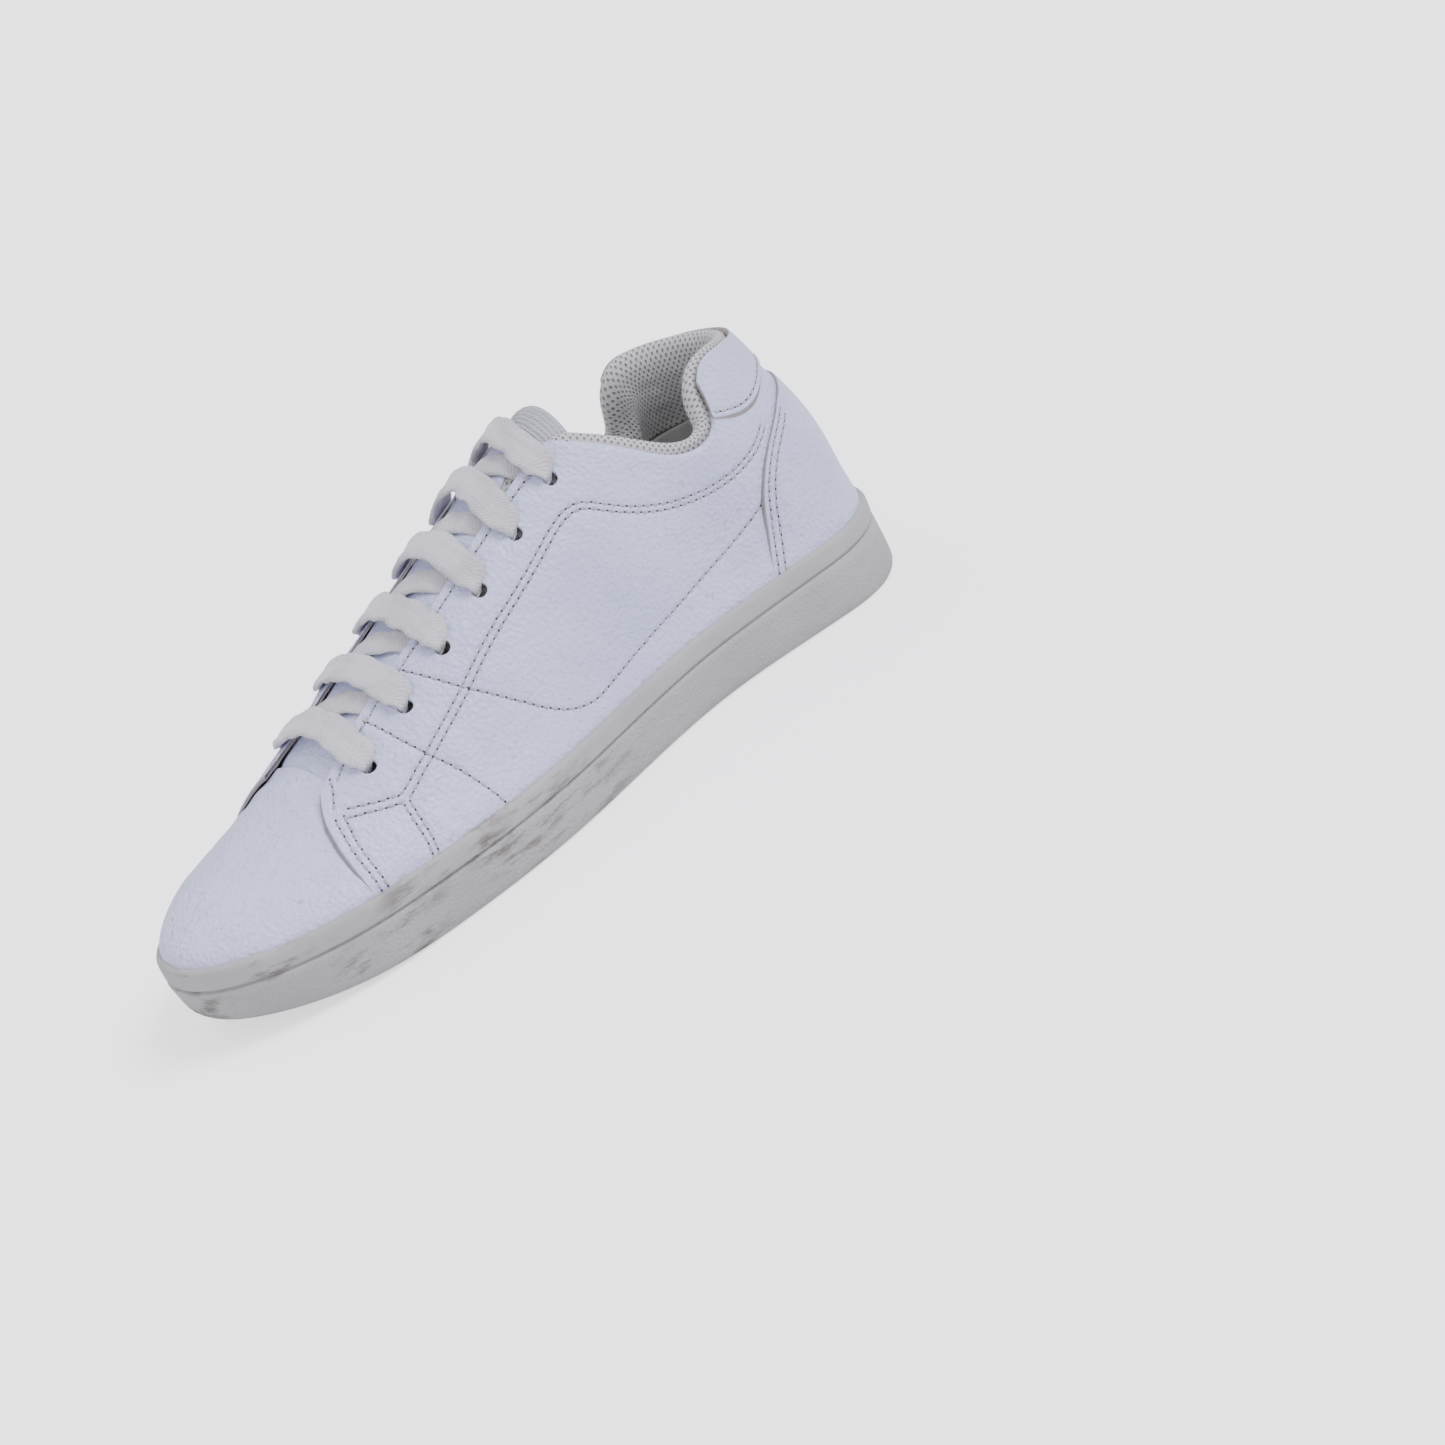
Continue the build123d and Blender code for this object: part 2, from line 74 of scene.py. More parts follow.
def smooth(*points):
    """Natural cubic curve through (position, value) points."""
    xs, ys = np.array(points, float).T
    gap = np.diff(xs)
    system, right = np.eye(len(xs)), np.zeros(len(xs))
    for i in range(1, len(xs) - 1):
        system[i, i - 1:i + 2] = gap[i - 1], 2 * (gap[i - 1] + gap[i]), gap[i]
        right[i] = 6 * ((ys[i + 1] - ys[i]) / gap[i] - (ys[i] - ys[i - 1]) / gap[i - 1])
    bend = np.linalg.solve(system, right)

    def curve(x):
        x = np.asarray(x, float)
        i = np.clip(np.searchsorted(xs, x) - 1, 0, len(xs) - 2)
        a, b, h = xs[i + 1] - x, x - xs[i], gap[i]
        cubic = (bend[i] * a**3 + bend[i + 1] * b**3) / (6 * h)
        return cubic + (ys[i] / h - bend[i] * h / 6) * a + (ys[i + 1] / h - bend[i + 1] * h / 6) * b
    return curve


half_width = smooth((-140, 33), (-100, 42.2), (-60, 49.3), (-25, 50), (10, 45), (45, 39),
                    (80, 36.5), (110, 36), (140, 34))
centre_line = smooth((-140, 14.5), (-100, 7.3), (-60, 1.7), (-25, -1.5), (10, -4), (45, -4.5),
                     (80, -2), (110, 0), (140, 0))
foxing_top = smooth((-140, 26), (-100, 23), (-50, 22), (20, 22.5), (80, 24), (140, 25.5))
footbed = smooth((-140, 17.5), (-100, 14.6), (-50, 13), (20, 14.4), (80, 16.6), (140, 17.6))
ridge_height = smooth((-135, 35.5), (-120, 39.3), (-100, 42.5), (-80, 48), (-60, 56.5), (-30, 71),
                      (0, 86), (30, 100), (60, 112), (100, 126), (140, 132))
heel_back = smooth((0, 134), (20, 135), (42, 135), (60, 131.5), (80, 122.5), (92, 116.5), (110, 108))
side_power = smooth((-140, 2.3), (-90, 2.2), (-40, 2.0), (10, 1.95), (50, 2.0), (140, 2.2))
rise_power = smooth((-140, 2.3), (-90, 2.1), (-40, 1.85), (10, 1.9), (50, 2.4), (140, 3.0))
heel_start = smooth((0, 95), (30, 95), (60, 87), (90, 80), (120, 78))
heel_fullness = smooth((0, 2.3), (30, 2.3), (60, 2.1), (90, 2.0), (120, 2.0))
RIDGE_CENTRE = 1.5
WIDEST = 17.0
TOE_TIP = 136.4
TURN, BACK = 85.0, 135.0  # behind TURN the form is followed by rays that swing round to BACK


def end_cap(place, start, end, power=2.3):
    share = np.clip((place - start) / (end - start), 0, 1)
    return (1 - share**power) ** (1 / power)


def ridge(y, g):
    return WIDEST + (ridge_height(y) + g - WIDEST) * end_cap(-y, 112, TOE_TIP + g)


def form_half(y, z, g):
    rise = np.clip((z - WIDEST) / np.maximum(ridge(y, g) - WIDEST, 1e-6), 0, 1)
    side = (1 - rise ** rise_power(y)) ** (1 / side_power(y))
    plan = (half_width(y) - 5 + g) * end_cap(-y, 85, TOE_TIP + g)
    back = heel_back(z) + g
    return plan * side * end_cap(y, np.minimum(heel_start(z), back - 14), back, heel_fullness(z))


def form_centre(y, z):
    lean = np.clip((z - 20) / 50, 0, 1)
    return centre_line(y) * (1 - lean) + RIDGE_CENTRE * lean


def place(tau, v, g):
    """Points (..., 3) on the foot form. v above 1 runs on over the ridge to the other side."""
    tau, v, g = np.broadcast_arrays(*(np.asarray(a, float) for a in (tau, v, g)))
    side = np.where((tau > BACK) ^ (v > 1), -1.0, 1.0)
    v = np.where(v > 1, 2 - v, v)
    t = np.where(tau > BACK, 2 * BACK - tau, tau)
    y = np.minimum(t, TURN)
    lift = np.sin(np.clip(v, 0, 1) * pi / 2) ** (2 / rise_power(y))
    z = WIDEST + lift * (ridge(y, g) - WIDEST) + np.minimum(v, 0) * 60
    x = form_centre(y, z) + side * form_half(y, z, g)
    swing = np.clip((t - TURN) / (BACK - TURN), 0, 1) * pi / 2
    behind = swing > 0
    if behind.any():
        zz, gg, ss, aa = z[behind], g[behind], side[behind], swing[behind]
        axis = form_centre(TURN, zz)
        low, high = np.zeros_like(zz), np.full_like(zz, 75.0)
        for _ in range(32):
            mid = (low + high) / 2
            xx, yy = axis + ss * mid * np.cos(aa), TURN + mid * np.sin(aa)
            inside = np.abs(xx - form_centre(yy, zz)) < form_half(yy, zz, gg)
            low, high = np.where(inside, mid, low), np.where(inside, high, mid)
        x[behind] = axis + ss * low * np.cos(aa)
        y = y.copy()
        y[behind] = TURN + low * np.sin(aa)
    return np.stack([x, y, z], -1)


def from_side(y, z):
    """(t, v) of a place seen from the side."""
    y, z = np.asarray(y, float), np.asarray(z, float)
    at = np.minimum(y, TURN)
    share = np.clip((z - WIDEST) / (ridge(at, 0.0) - WIDEST), 0, 1)
    v = 2 / pi * np.arcsin(share ** (rise_power(at) / 2))
    reach = form_half(y, z, 0.0) + form_centre(y, z) - form_centre(TURN, z)
    swing = np.arctan2(np.maximum(y - TURN, 0), np.maximum(reach, 1e-6))
    return np.where(y > TURN, TURN + swing / (pi / 2) * (BACK - TURN), y), v


def from_above(offset, y):
    """v of a place that lies offset to the side of the instep ridge."""
    wide = (half_width(y) - 5) * end_cap(-np.asarray(y, float), 85, TOE_TIP)
    return 2 / pi * np.arccos(np.clip(offset / wide, 0, 1) ** (side_power(y) / 2))


def travelled(line):
    """Distance along a line at each of its points."""
    return np.concatenate([[0], np.cumsum(np.linalg.norm(np.diff(line, axis=0), axis=1))])


def picked(line, reach, spots):
    """Points of a line at given distances along it."""
    return np.stack([np.interp(spots, reach, column) for column in line.T], -1)


def averaged(values, window, **padding):
    """Moving average of the same length, with its end values repeated unless padding says otherwise."""
    padded = np.pad(values, window // 2, **(padding or {"mode": "edge"}))
    return np.convolve(padded, np.ones(window) / window, mode="valid")


def run(points, count):
    """Evenly spaced points along a smooth line through (y, z) points."""
    points = np.array(points, float)
    reach = travelled(points)
    along = np.linspace(0, reach[-1], count)
    curves = [smooth(*zip(reach, column)) for column in points.T]
    return np.stack([curve(along) for curve in curves], -1)


SPRING_START, SPRING = -70.0, 8.0


def sole_bottom(y):
    share = np.maximum(SPRING_START - y, 0) / (SPRING_START + 140)
    return SPRING * share * share


def closed_outline(grow, count, half):
    """(x, y) points round an outline, evenly spaced, with their outward normals."""
    angle = np.linspace(0, pi, 3000)
    y = -(140 + grow) * np.cos(angle)
    reach = half(y, grow)
    loop = np.concatenate([np.stack([centre_line(y) + reach, y], -1),
                           np.stack([centre_line(y) - reach, y], -1)[-2:0:-1]])
    shut = np.concatenate([loop, loop[:1]])
    walk = travelled(shut)
    points = picked(shut, walk, np.linspace(0, walk[-1], count, endpoint=False))
    way = np.roll(points, -1, axis=0) - np.roll(points, 1, axis=0)
    way /= np.linalg.norm(way, axis=1)[:, None]
    return points, np.stack([way[:, 1], -way[:, 0]], -1)


def sole_half(y, grow):
    return (half_width(y) + grow) * end_cap(-y, 85, 140 + grow) * end_cap(y, 102, 140 + grow)


OUTLINE, OUTLINE_WAY = closed_outline(0.0, 1150, sole_half)
RIM_LEDGE = 2.0  # width of rubber left showing on top of the rim
FLARE_HEIGHT, FLARE_FADE = 16.0, 7.5  # how high above the rim the leather flares, and how fast that fades
LEATHER = 1.3  # thickness of the upper's leather


def nearest(tree_points):
    tree = KDTree(len(tree_points))
    for i, spot in enumerate(tree_points):
        tree.insert(spot, i)
    tree.balance()
    return tree


outline_tree = nearest(np.column_stack([OUTLINE, 0 * OUTLINE[:, 0]]))


def settle(points, depth=0.0):
    """Leather near the rim of the sole is pushed out until it almost reaches the rim's edge."""
    flat = points.reshape(-1, 3).copy()
    rim = foxing_top(np.clip(flat[:, 1], -140, 140))
    low = np.flatnonzero(flat[:, 2] < rim + FLARE_HEIGHT)
    for i in low:
        x, y, z = flat[i]
        _, k, gap = outline_tree.find((x, y, 0.0))
        share = exp(-(max(z - rim[i], 0.0) / FLARE_FADE) ** 2)
        step = (gap - RIM_LEDGE - depth) * share
        if step > 0:
            flat[i, :2] += OUTLINE_WAY[k] * step
    return flat.reshape(points.shape)


# ---- mesh helpers


def new_object(name, verts, faces, materials, face_slots=None, uv=None):
    """Smooth-shaded object from millimetres; uv holds one cloth coordinate for each vertex."""
    mesh = bpy.data.meshes.new(name)
    mesh.from_pydata((np.asarray(verts) / 1000).tolist(), [], [list(f) for f in faces])
    for material in materials:
        mesh.materials.append(material)
    if face_slots is not None:
        mesh.polygons.foreach_set("material_index", np.asarray(face_slots, np.int32))
    mesh.polygons.foreach_set("use_smooth", np.ones(len(mesh.polygons), bool))
    if uv is not None:
        layer = mesh.uv_layers.new(name="cloth")
        loops = np.empty(len(mesh.loops), np.int32)
        mesh.loops.foreach_get("vertex_index", loops)
        layer.data.foreach_set("uv", np.asarray(uv, np.float32)[loops].ravel())
    mesh.validate()
    obj = bpy.data.objects.new(name, mesh)
    bpy.context.scene.collection.objects.link(obj)
    return obj


built = []  # every piece of the shoe


def stand_for(piece, body, slot, *nodes):
    """The body that a piece rides on, its material slot, which is not used, and the CAD nodes whose place it
    takes.
    """
    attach(piece, body)
    if nodes:
        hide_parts(*nodes)
    built.append(piece)


def face_outward(piece):
    """Turn round the faces that look into the piece."""
    solid = bmesh.new()
    solid.from_mesh(piece.data)
    bmesh.ops.recalc_face_normals(solid, faces=solid.faces)
    solid.to_mesh(piece.data)
    solid.free()


def grid_faces(rows, columns, start=0, wrap=False, flip=False):
    """Quads between neighbouring points of a grid; wrap joins the last column to the first."""
    last = columns if wrap else columns - 1
    r, c = np.meshgrid(np.arange(rows - 1), np.arange(last), indexing="ij")
    n = (c + 1) % columns
    quads = np.stack([r * columns + c, r * columns + n, (r + 1) * columns + n, (r + 1) * columns + c], -1)
    quads = quads.reshape(-1, 4) + start
    return quads[:, ::-1] if flip else quads


def border(rows, columns):
    """Vertex numbers round the edge of a grid, in order."""
    number = np.arange(rows * columns).reshape(rows, columns)
    return np.concatenate([number[0], number[1:, -1], number[-1, -2::-1], number[-2:0:-1, 0]])


EDGE_STEPS = np.array([0.0, 0.12, 0.30, 0.6])  # distances from a leather's edge
EDGE_DROPS = np.array([0.34, 0.14, 0.04, 0.0])  # how far the rounded edge has dropped at each


def edged(length, step):
    """Places from 0 to 1 with extra ones at both ends, and how far each lies from the nearer end."""
    count = max(int(length / step), 4)
    inner = np.linspace(1.0, length - 1.0, count)
    spots = np.concatenate([EDGE_STEPS, inner, length - EDGE_STEPS[::-1]])
    return spots / length, spots, length - spots


def rounding(distance):
    """Drop of the rounded edge at a distance from it."""
    return np.interp(distance, EDGE_STEPS, EDGE_DROPS)


def widened(grid, bevel):
    """A grid whose first row and outer columns are carried on by (row, first, last) millimetres."""
    row, first, last = (amount / EDGE_STEPS[1] for amount in bevel)
    wide = grid.copy()
    wide[0] += (grid[0] - grid[1]) * row
    wide[:, 0] += (grid[:, 0] - grid[:, 1]) * first
    wide[:, -1] += (grid[:, -1] - grid[:, -2]) * last
    return wide


def shell(name, tau, v, outer, inner, materials, settled=False, bevel=None):
    """Closed leather piece: an outer and an inner grid joined round the border.

    Material 0 is the grain side, material 1 the cut edge and the flesh side, whose grey-brown is partly
    painted shadow. A bevel lets the flesh side run on past the grain side, so that the cut edge shows
    as a strip that stands partly for the shadow along the edge.
    """
    rows, columns = tau.shape
    top = place(tau, v, outer).reshape(-1, 3)
    low_tau, low_v = (widened(grid, bevel) for grid in (tau, v)) if bevel else (tau, v)
    under = place(low_tau, low_v, inner).reshape(-1, 3)
    if settled:
        top, under = settle(top), settle(under, LEATHER)
    faces = [grid_faces(rows, columns, flip=True), grid_faces(rows, columns, start=len(top))]
    rim = border(rows, columns)
    following = np.roll(rim, -1)
    walls = np.stack([rim, following, following + len(top), rim + len(top)], -1)
    slots = np.concatenate([np.zeros(len(faces[0])), np.ones(len(faces[1]) + len(walls))]).astype(int)
    return new_object(name, np.concatenate([top, under]), np.concatenate(faces + [walls]),
                      materials, slots)


def puffed(obj, most, frames=10):
    """Runs a closed piece as cloth under pressure and keeps the swelling, scaled to a set travel."""
    mesh = obj.data
    before = np.empty(len(mesh.vertices) * 3)
    mesh.vertices.foreach_get("co", before)
    cloth = obj.modifiers.new("Cloth", "CLOTH")
    cloth.settings.quality = 3
    cloth.settings.use_pressure = True
    cloth.settings.uniform_pressure_force = 4.0
    cloth.settings.effector_weights.gravity = 0.0
    cloth.settings.tension_stiffness = cloth.settings.compression_stiffness = 6.0
    cloth.settings.bending_stiffness = 2.0
    cloth.point_cache.frame_start, cloth.point_cache.frame_end = 1, frames
    for frame_number in range(1, frames + 1):
        bpy.context.scene.frame_set(frame_number)
    result = obj.evaluated_get(bpy.context.evaluated_depsgraph_get()).to_mesh()
    after = np.empty(len(result.vertices) * 3)
    result.vertices.foreach_get("co", after)
    obj.modifiers.remove(cloth)
    bpy.context.scene.frame_set(1)
    travel = (after - before).reshape(-1, 3)
    length = np.linalg.norm(travel, axis=1)
    travel *= most / 1000 / max(np.percentile(length, 97), 1e-9)
    length = np.linalg.norm(travel, axis=1)
    travel *= np.minimum(1.0, most / 1000 / np.maximum(length, 1e-9))[:, None]
    mesh.vertices.foreach_set("co", before + travel.ravel())
    mesh.update()


def strand_distance(points, lines):
    """Distance from each point to the nearest point of a set of 3-D lines."""
    tree = nearest(np.concatenate(lines))
    flat = points.reshape(-1, 3)
    return np.array([tree.find(p)[2] for p in flat]).reshape(points.shape[:-1])


def seam_relief(seam, crown):
    """Leather that crowns between its seams and is drawn down into a narrow groove along them."""
    return crown * np.clip(seam / 6, 0, 1) - 0.42 * np.exp(-(seam / 0.75) ** 2)


def ripple(tau, v, seed, pitch, amount):
    """Slow smooth unevenness over a piece."""
    local = np.random.default_rng(seed)
    total = 0.0
    for _ in range(7):
        angle, phase = local.uniform(0, 2 * pi, 2)
        k = 2 * pi / (pitch * local.uniform(0.7, 1.6))
        total = total + np.sin(k * (tau * cos(angle) + v * 90 * sin(angle)) + phase)
    return total / 7 * amount


# ---- materials


class Nodes:
    """Short way to write a shader tree."""

    def __init__(self, name):
        self.material = bpy.data.materials.new(name)
        self.material.use_nodes = True
        self.tree = self.material.node_tree
        self.shader = self.tree.nodes["Principled BSDF"]
        self.coords = self.add("ShaderNodeTexCoord")

    def add(self, kind, **settings):
        node = self.tree.nodes.new(kind)
        for key, value in settings.items():
            if hasattr(node, key):
                setattr(node, key, value)
            else:
                node.inputs[key.replace("_", " ")].default_value = value
        return node

    def link(self, out, into):
        self.tree.links.new(out, into)

    def noise(self, scale, detail=4.0, source=None, rough=0.5):
        node = self.add("ShaderNodeTexNoise", Scale=scale, Detail=detail, Roughness=rough)
        self.link(source or self.coords.outputs["Object"], node.inputs["Vector"])
        return node.outputs["Fac"]

    def ramp(self, value, low, high, before=0.0, after=1.0):
        node = self.add("ShaderNodeMapRange", clamp=True)
        for slot, number in zip(("From Min", "From Max", "To Min", "To Max"), (low, high, before, after)):
            node.inputs[slot].default_value = number
        self.link(value, node.inputs["Value"])
        return node.outputs["Result"]

    def math(self, kind, a, b=0.0):
        node = self.add("ShaderNodeMath", operation=kind)
        for slot, value in zip(node.inputs, (a, b)):
            if isinstance(value, (int, float)):
                slot.default_value = value
            else:
                self.link(value, slot)
        return node.outputs[0]

    def mix(self, share, a, b):
        node = self.add("ShaderNodeMix", data_type="RGBA")
        self.link(share, node.inputs["Factor"])
        for slot, colour in ((6, a), (7, b)):
            if isinstance(colour, tuple):
                node.inputs[slot].default_value = (*colour, 1.0)
            else:
                self.link(colour, node.inputs[slot])
        return node.outputs[2]

    def bump(self, height, distance, strength=1.0, under=None):
        node = self.add("ShaderNodeBump", Strength=strength, Distance=distance)
        self.link(height, node.inputs["Height"])
        if under is not None:
            self.link(under, node.inputs["Normal"])
        return node.outputs["Normal"]

    def finish(self, colour, roughness, normal=None, sheen=0.0):
        for slot, value in (("Base Color", colour), ("Roughness", roughness), ("Normal", normal)):
            if value is None:
                continue
            if isinstance(value, (int, float)):
                self.shader.inputs[slot].default_value = value
            elif isinstance(value, tuple):
                self.shader.inputs[slot].default_value = (*value, 1.0)
            else:
                self.link(value, self.shader.inputs[slot])
        self.shader.inputs["Sheen Weight"].default_value = sheen
        self.shader.inputs["Specular IOR Level"].default_value = 0.4
        return self.material


def leather_material():
    """White full-grain leather: fine pebbles, soft folds, thin creases greyed with painted shade, faint
    scuffs.
    """
    n = Nodes("white_leather")
    pebbles = n.add("ShaderNodeTexVoronoi", Scale=760.0, feature="SMOOTH_F1")
    n.link(n.coords.outputs["Object"], pebbles.inputs["Vector"])
    fine = n.bump(pebbles.outputs["Distance"], 0.0006, 0.9)
    folds = n.bump(n.noise(110.0, 5.0, rough=0.62), 0.0024, 0.40, under=fine)
    drawn = n.add("ShaderNodeMapping")
    drawn.inputs["Scale"].default_value = (1.0, 0.5, 1.5)
    n.link(n.coords.outputs["Object"], drawn.inputs["Vector"])
    ridge_noise = n.noise(130.0, 3.0, drawn.outputs["Vector"])
    line = n.ramp(n.math("ABSOLUTE", n.math("SUBTRACT", ridge_noise, 0.5)), 0.0, 0.035, 1.0, 0.0)
    crease = n.math("MULTIPLY", line, n.ramp(n.noise(22.0, 2.0), 0.55, 0.72))
    creased = n.bump(crease, -0.00025, 0.5, under=folds)
    tone = n.mix(n.ramp(n.noise(24.0, 3.0), 0.3, 0.7), (0.52, 0.53, 0.74), (0.62, 0.63, 0.83))
    # painted shade: the leather is greyed a little along the creases
    tone = n.mix(n.math("MULTIPLY", crease, 0.12), tone, (0.42, 0.42, 0.47))
    scuff = n.math("MULTIPLY", n.ramp(n.noise(240.0, 6.0, rough=0.7), 0.60, 0.68),
                   n.ramp(n.noise(19.0, 2.0), 0.50, 0.60))
    colour = n.mix(n.math("MULTIPLY", scuff, 0.55), tone, (0.30, 0.28, 0.29))
    rough = n.ramp(n.noise(40.0, 3.0), 0.3, 0.7, 0.32, 0.46)
    return n.finish(colour, rough, creased)


def plain_material(name, colour, dark, scale, roughness, distance, sheen=0.0):
    """Two blotchy tones with a bump of the same pattern."""
    n = Nodes(name)
    spots = n.noise(scale, 6.0, rough=0.65)
    return n.finish(n.mix(n.ramp(spots, 0.3, 0.7), dark, colour), roughness,
                    n.bump(spots, distance), sheen)


def rubber_material():
    """Off-white rubber: smooth rim, sandy wall under the line, grey-brown smudges towards the toe."""
    n = Nodes("sole_rubber")
    parts = n.add("ShaderNodeSeparateXYZ")
    n.link(n.coords.outputs["Object"], parts.inputs[0])
    sand = n.noise(1000.0, 3.0)
    low = n.ramp(parts.outputs["Z"], 0.0145, 0.0165, 1.0, 0.12)
    grain = n.bump(n.math("MULTIPLY", sand, low), 0.0009, 0.8)
    tone = n.mix(n.ramp(n.noise(30.0, 4.0), 0.3, 0.7), (0.365, 0.358, 0.352), (0.43, 0.422, 0.415))
    stretched = n.add("ShaderNodeMapping")
    stretched.inputs["Scale"].default_value = (1.0, 0.55, 2.6)
    n.link(n.coords.outputs["Object"], stretched.inputs["Vector"])
    smear = n.ramp(n.noise(75.0, 7.0, stretched.outputs["Vector"], 0.72), 0.50, 0.62)
    forward = n.ramp(parts.outputs["Y"], 0.05, -0.06, 0.12, 1.0)
    patches = n.ramp(n.noise(30.0, 2.0), 0.46, 0.60)
    dirt = n.math("MULTIPLY", n.math("MULTIPLY", smear, forward), n.math("MULTIPLY", patches, 0.9))
    colour = n.mix(dirt, tone, (0.13, 0.10, 0.078))
    return n.finish(colour, 0.62, grain)


def mesh_material():
    """Spacer mesh: staggered rows of small holes, coloured dark as painted shade, laid out in the cloth's own
    millimetres.
    """
    n = Nodes("spacer_mesh")
    parts = n.add("ShaderNodeSeparateXYZ")
    n.link(n.coords.outputs["UV"], parts.inputs[0])
    pitches = (2.1, 2.8)
    across, along = (n.math("MULTIPLY", parts.outputs[i], 2 * pi / pitches[i]) for i in range(2))
    holes = n.ramp(n.math("MULTIPLY", n.math("COSINE", across), n.math("COSINE", along)), 0.30, 0.80)
    yarn = n.noise(1800.0, 2.0)
    # painted shade: the holes are coloured dark grey for the shade inside them
    colour = n.mix(holes, (0.56, 0.545, 0.53), (0.23, 0.22, 0.215))
    normal = n.bump(yarn, 0.0003, 0.6, under=n.bump(holes, -0.0008, 0.9))
    return n.finish(colour, 0.85, normal, 0.3)


def woven_material(name, colour, dark, across, along, sheen=0.4):
    """Plain weave in the cloth's own millimetres, a little fuzzy."""
    n = Nodes(name)
    parts = n.add("ShaderNodeSeparateXYZ")
    n.link(n.coords.outputs["UV"], parts.inputs[0])
    waves = [n.math("SINE", n.math("MULTIPLY", output, 2 * pi / pitch))
             for output, pitch in zip(parts.outputs, (across, along))]
    weave = n.math("MULTIPLY", *waves)
    fuzz = n.noise(2200.0, 3.0, rough=0.7)
    grime = n.ramp(n.noise(85.0, 4.0), 0.42, 0.72)
    colour = n.mix(n.math("MULTIPLY", grime, 0.5), colour, dark)
    normal = n.bump(fuzz, 0.0005, 0.6, under=n.bump(weave, 0.0003, 0.6))
    return n.finish(colour, 0.9, normal, sheen)


leather = leather_material()
# the cut edge and flesh side are grey-brown: partly the raw edge's own colour, partly painted shadow along
# the edges of the pieces
cut_edge_and_shadow = plain_material("leather_edge_and_shadow", (0.42, 0.385, 0.36), (0.30, 0.27, 0.25), 900.0, 0.85, 0.0001)
rubber = rubber_material()
thread = plain_material("thread", (0.50, 0.485, 0.49), (0.36, 0.345, 0.34), 3000.0, 0.8, 0.00005, 0.2)
# near-black discs by the stitches: painted shade standing for the needle holes
needle_hole_shade = plain_material("needle_hole_shade", (0.07, 0.07, 0.08), (0.05, 0.05, 0.06), 500.0, 0.9, 0.00001)
spacer = mesh_material()
lining = woven_material("lining_cloth", (0.52, 0.505, 0.48), (0.36, 0.345, 0.32), 0.9, 0.9)
ribbon = woven_material("ribbed_ribbon", (0.55, 0.55, 0.59), (0.40, 0.40, 0.43), 1.3, 0.7)
cotton = woven_material("lace_cotton", (0.68, 0.66, 0.69), (0.41, 0.38, 0.36), 1.15, 1.5, 0.6)

# ---- pattern lines

# (y, z) runs seen from the side
FRONT_EDGE = [(-88, 19), (-88, 24), (-87.2, 34), (-83.6, 41.5), (-78.5, 46)]
COUNTER_EDGE = [(81.3, 19), (82.5, 24), (86.3, 35), (90, 47.5), (97.5, 59), (112, 69)]
TAB_LOW = [(85.2, 77.6), (91, 75.6), (96, 74.6), (103, 75), (112, 78), (130, 81)]
HEEL_TOP = [(86.2, 89.3), (89.5, 92.4), (98, 93.8), (112, 92.3), (132, 90.5)]
# half the width of the throat along y
throat_half = smooth((-90, 21), (-78, 19.2), (-65, 15.8), (-39, 14.5), (0, 13.6), (30, 13.6), (60, 14.5))
EYELETS = [(-65.0 + 19.0 * i, 47.0 + 8.1 * i) for i in range(6)]
EYELET_RADIUS = 2.35


def ankle_line(side):
    """Upper edge from the throat to the heel tab; it dips lower on the outer side, under the ankle bone."""
    drop = 0.0 if side > 0 else 5.0
    return [(38.5, 95.6), (42, 93.6), (50, 88.3 - drop * 0.2), (59, 81.2 - drop * 0.7),
            (67, 75.6 - drop), (75, 73.2 - drop), (82, 74.6 - drop * 0.7), (85.4, 78.8 - drop * 0.3),
            (86.0, 84.2), (86.2, 89.3)]


def topline(side):
    """(t, v) along the quarter's upper edge from the throat's front corner to the heel seam."""
    throat_y = np.linspace(-78.5, 36.0, 120)
    throat = np.stack([throat_y, from_above(throat_half(throat_y), throat_y)], -1)
    ankle = np.stack(from_side(*run(ankle_line(side), 80).T), -1)
    heel = np.stack(from_side(*run(HEEL_TOP, 40).T), -1)
    heel = heel[heel[:, 0] < BACK - 0.4]
    end = np.array([[BACK, heel[-1, 1]]])
    line = np.concatenate([throat, ankle, heel[1:], end])
    keep = np.concatenate([[True], np.diff(np.maximum.accumulate(line[:, 0])) > 1e-4])
    return line[keep]


def other_side(tau, side):
    """tau on the asked side of the shoe: 1 is the inner, -1 the outer side."""
    return tau if side > 0 else 2 * BACK - tau


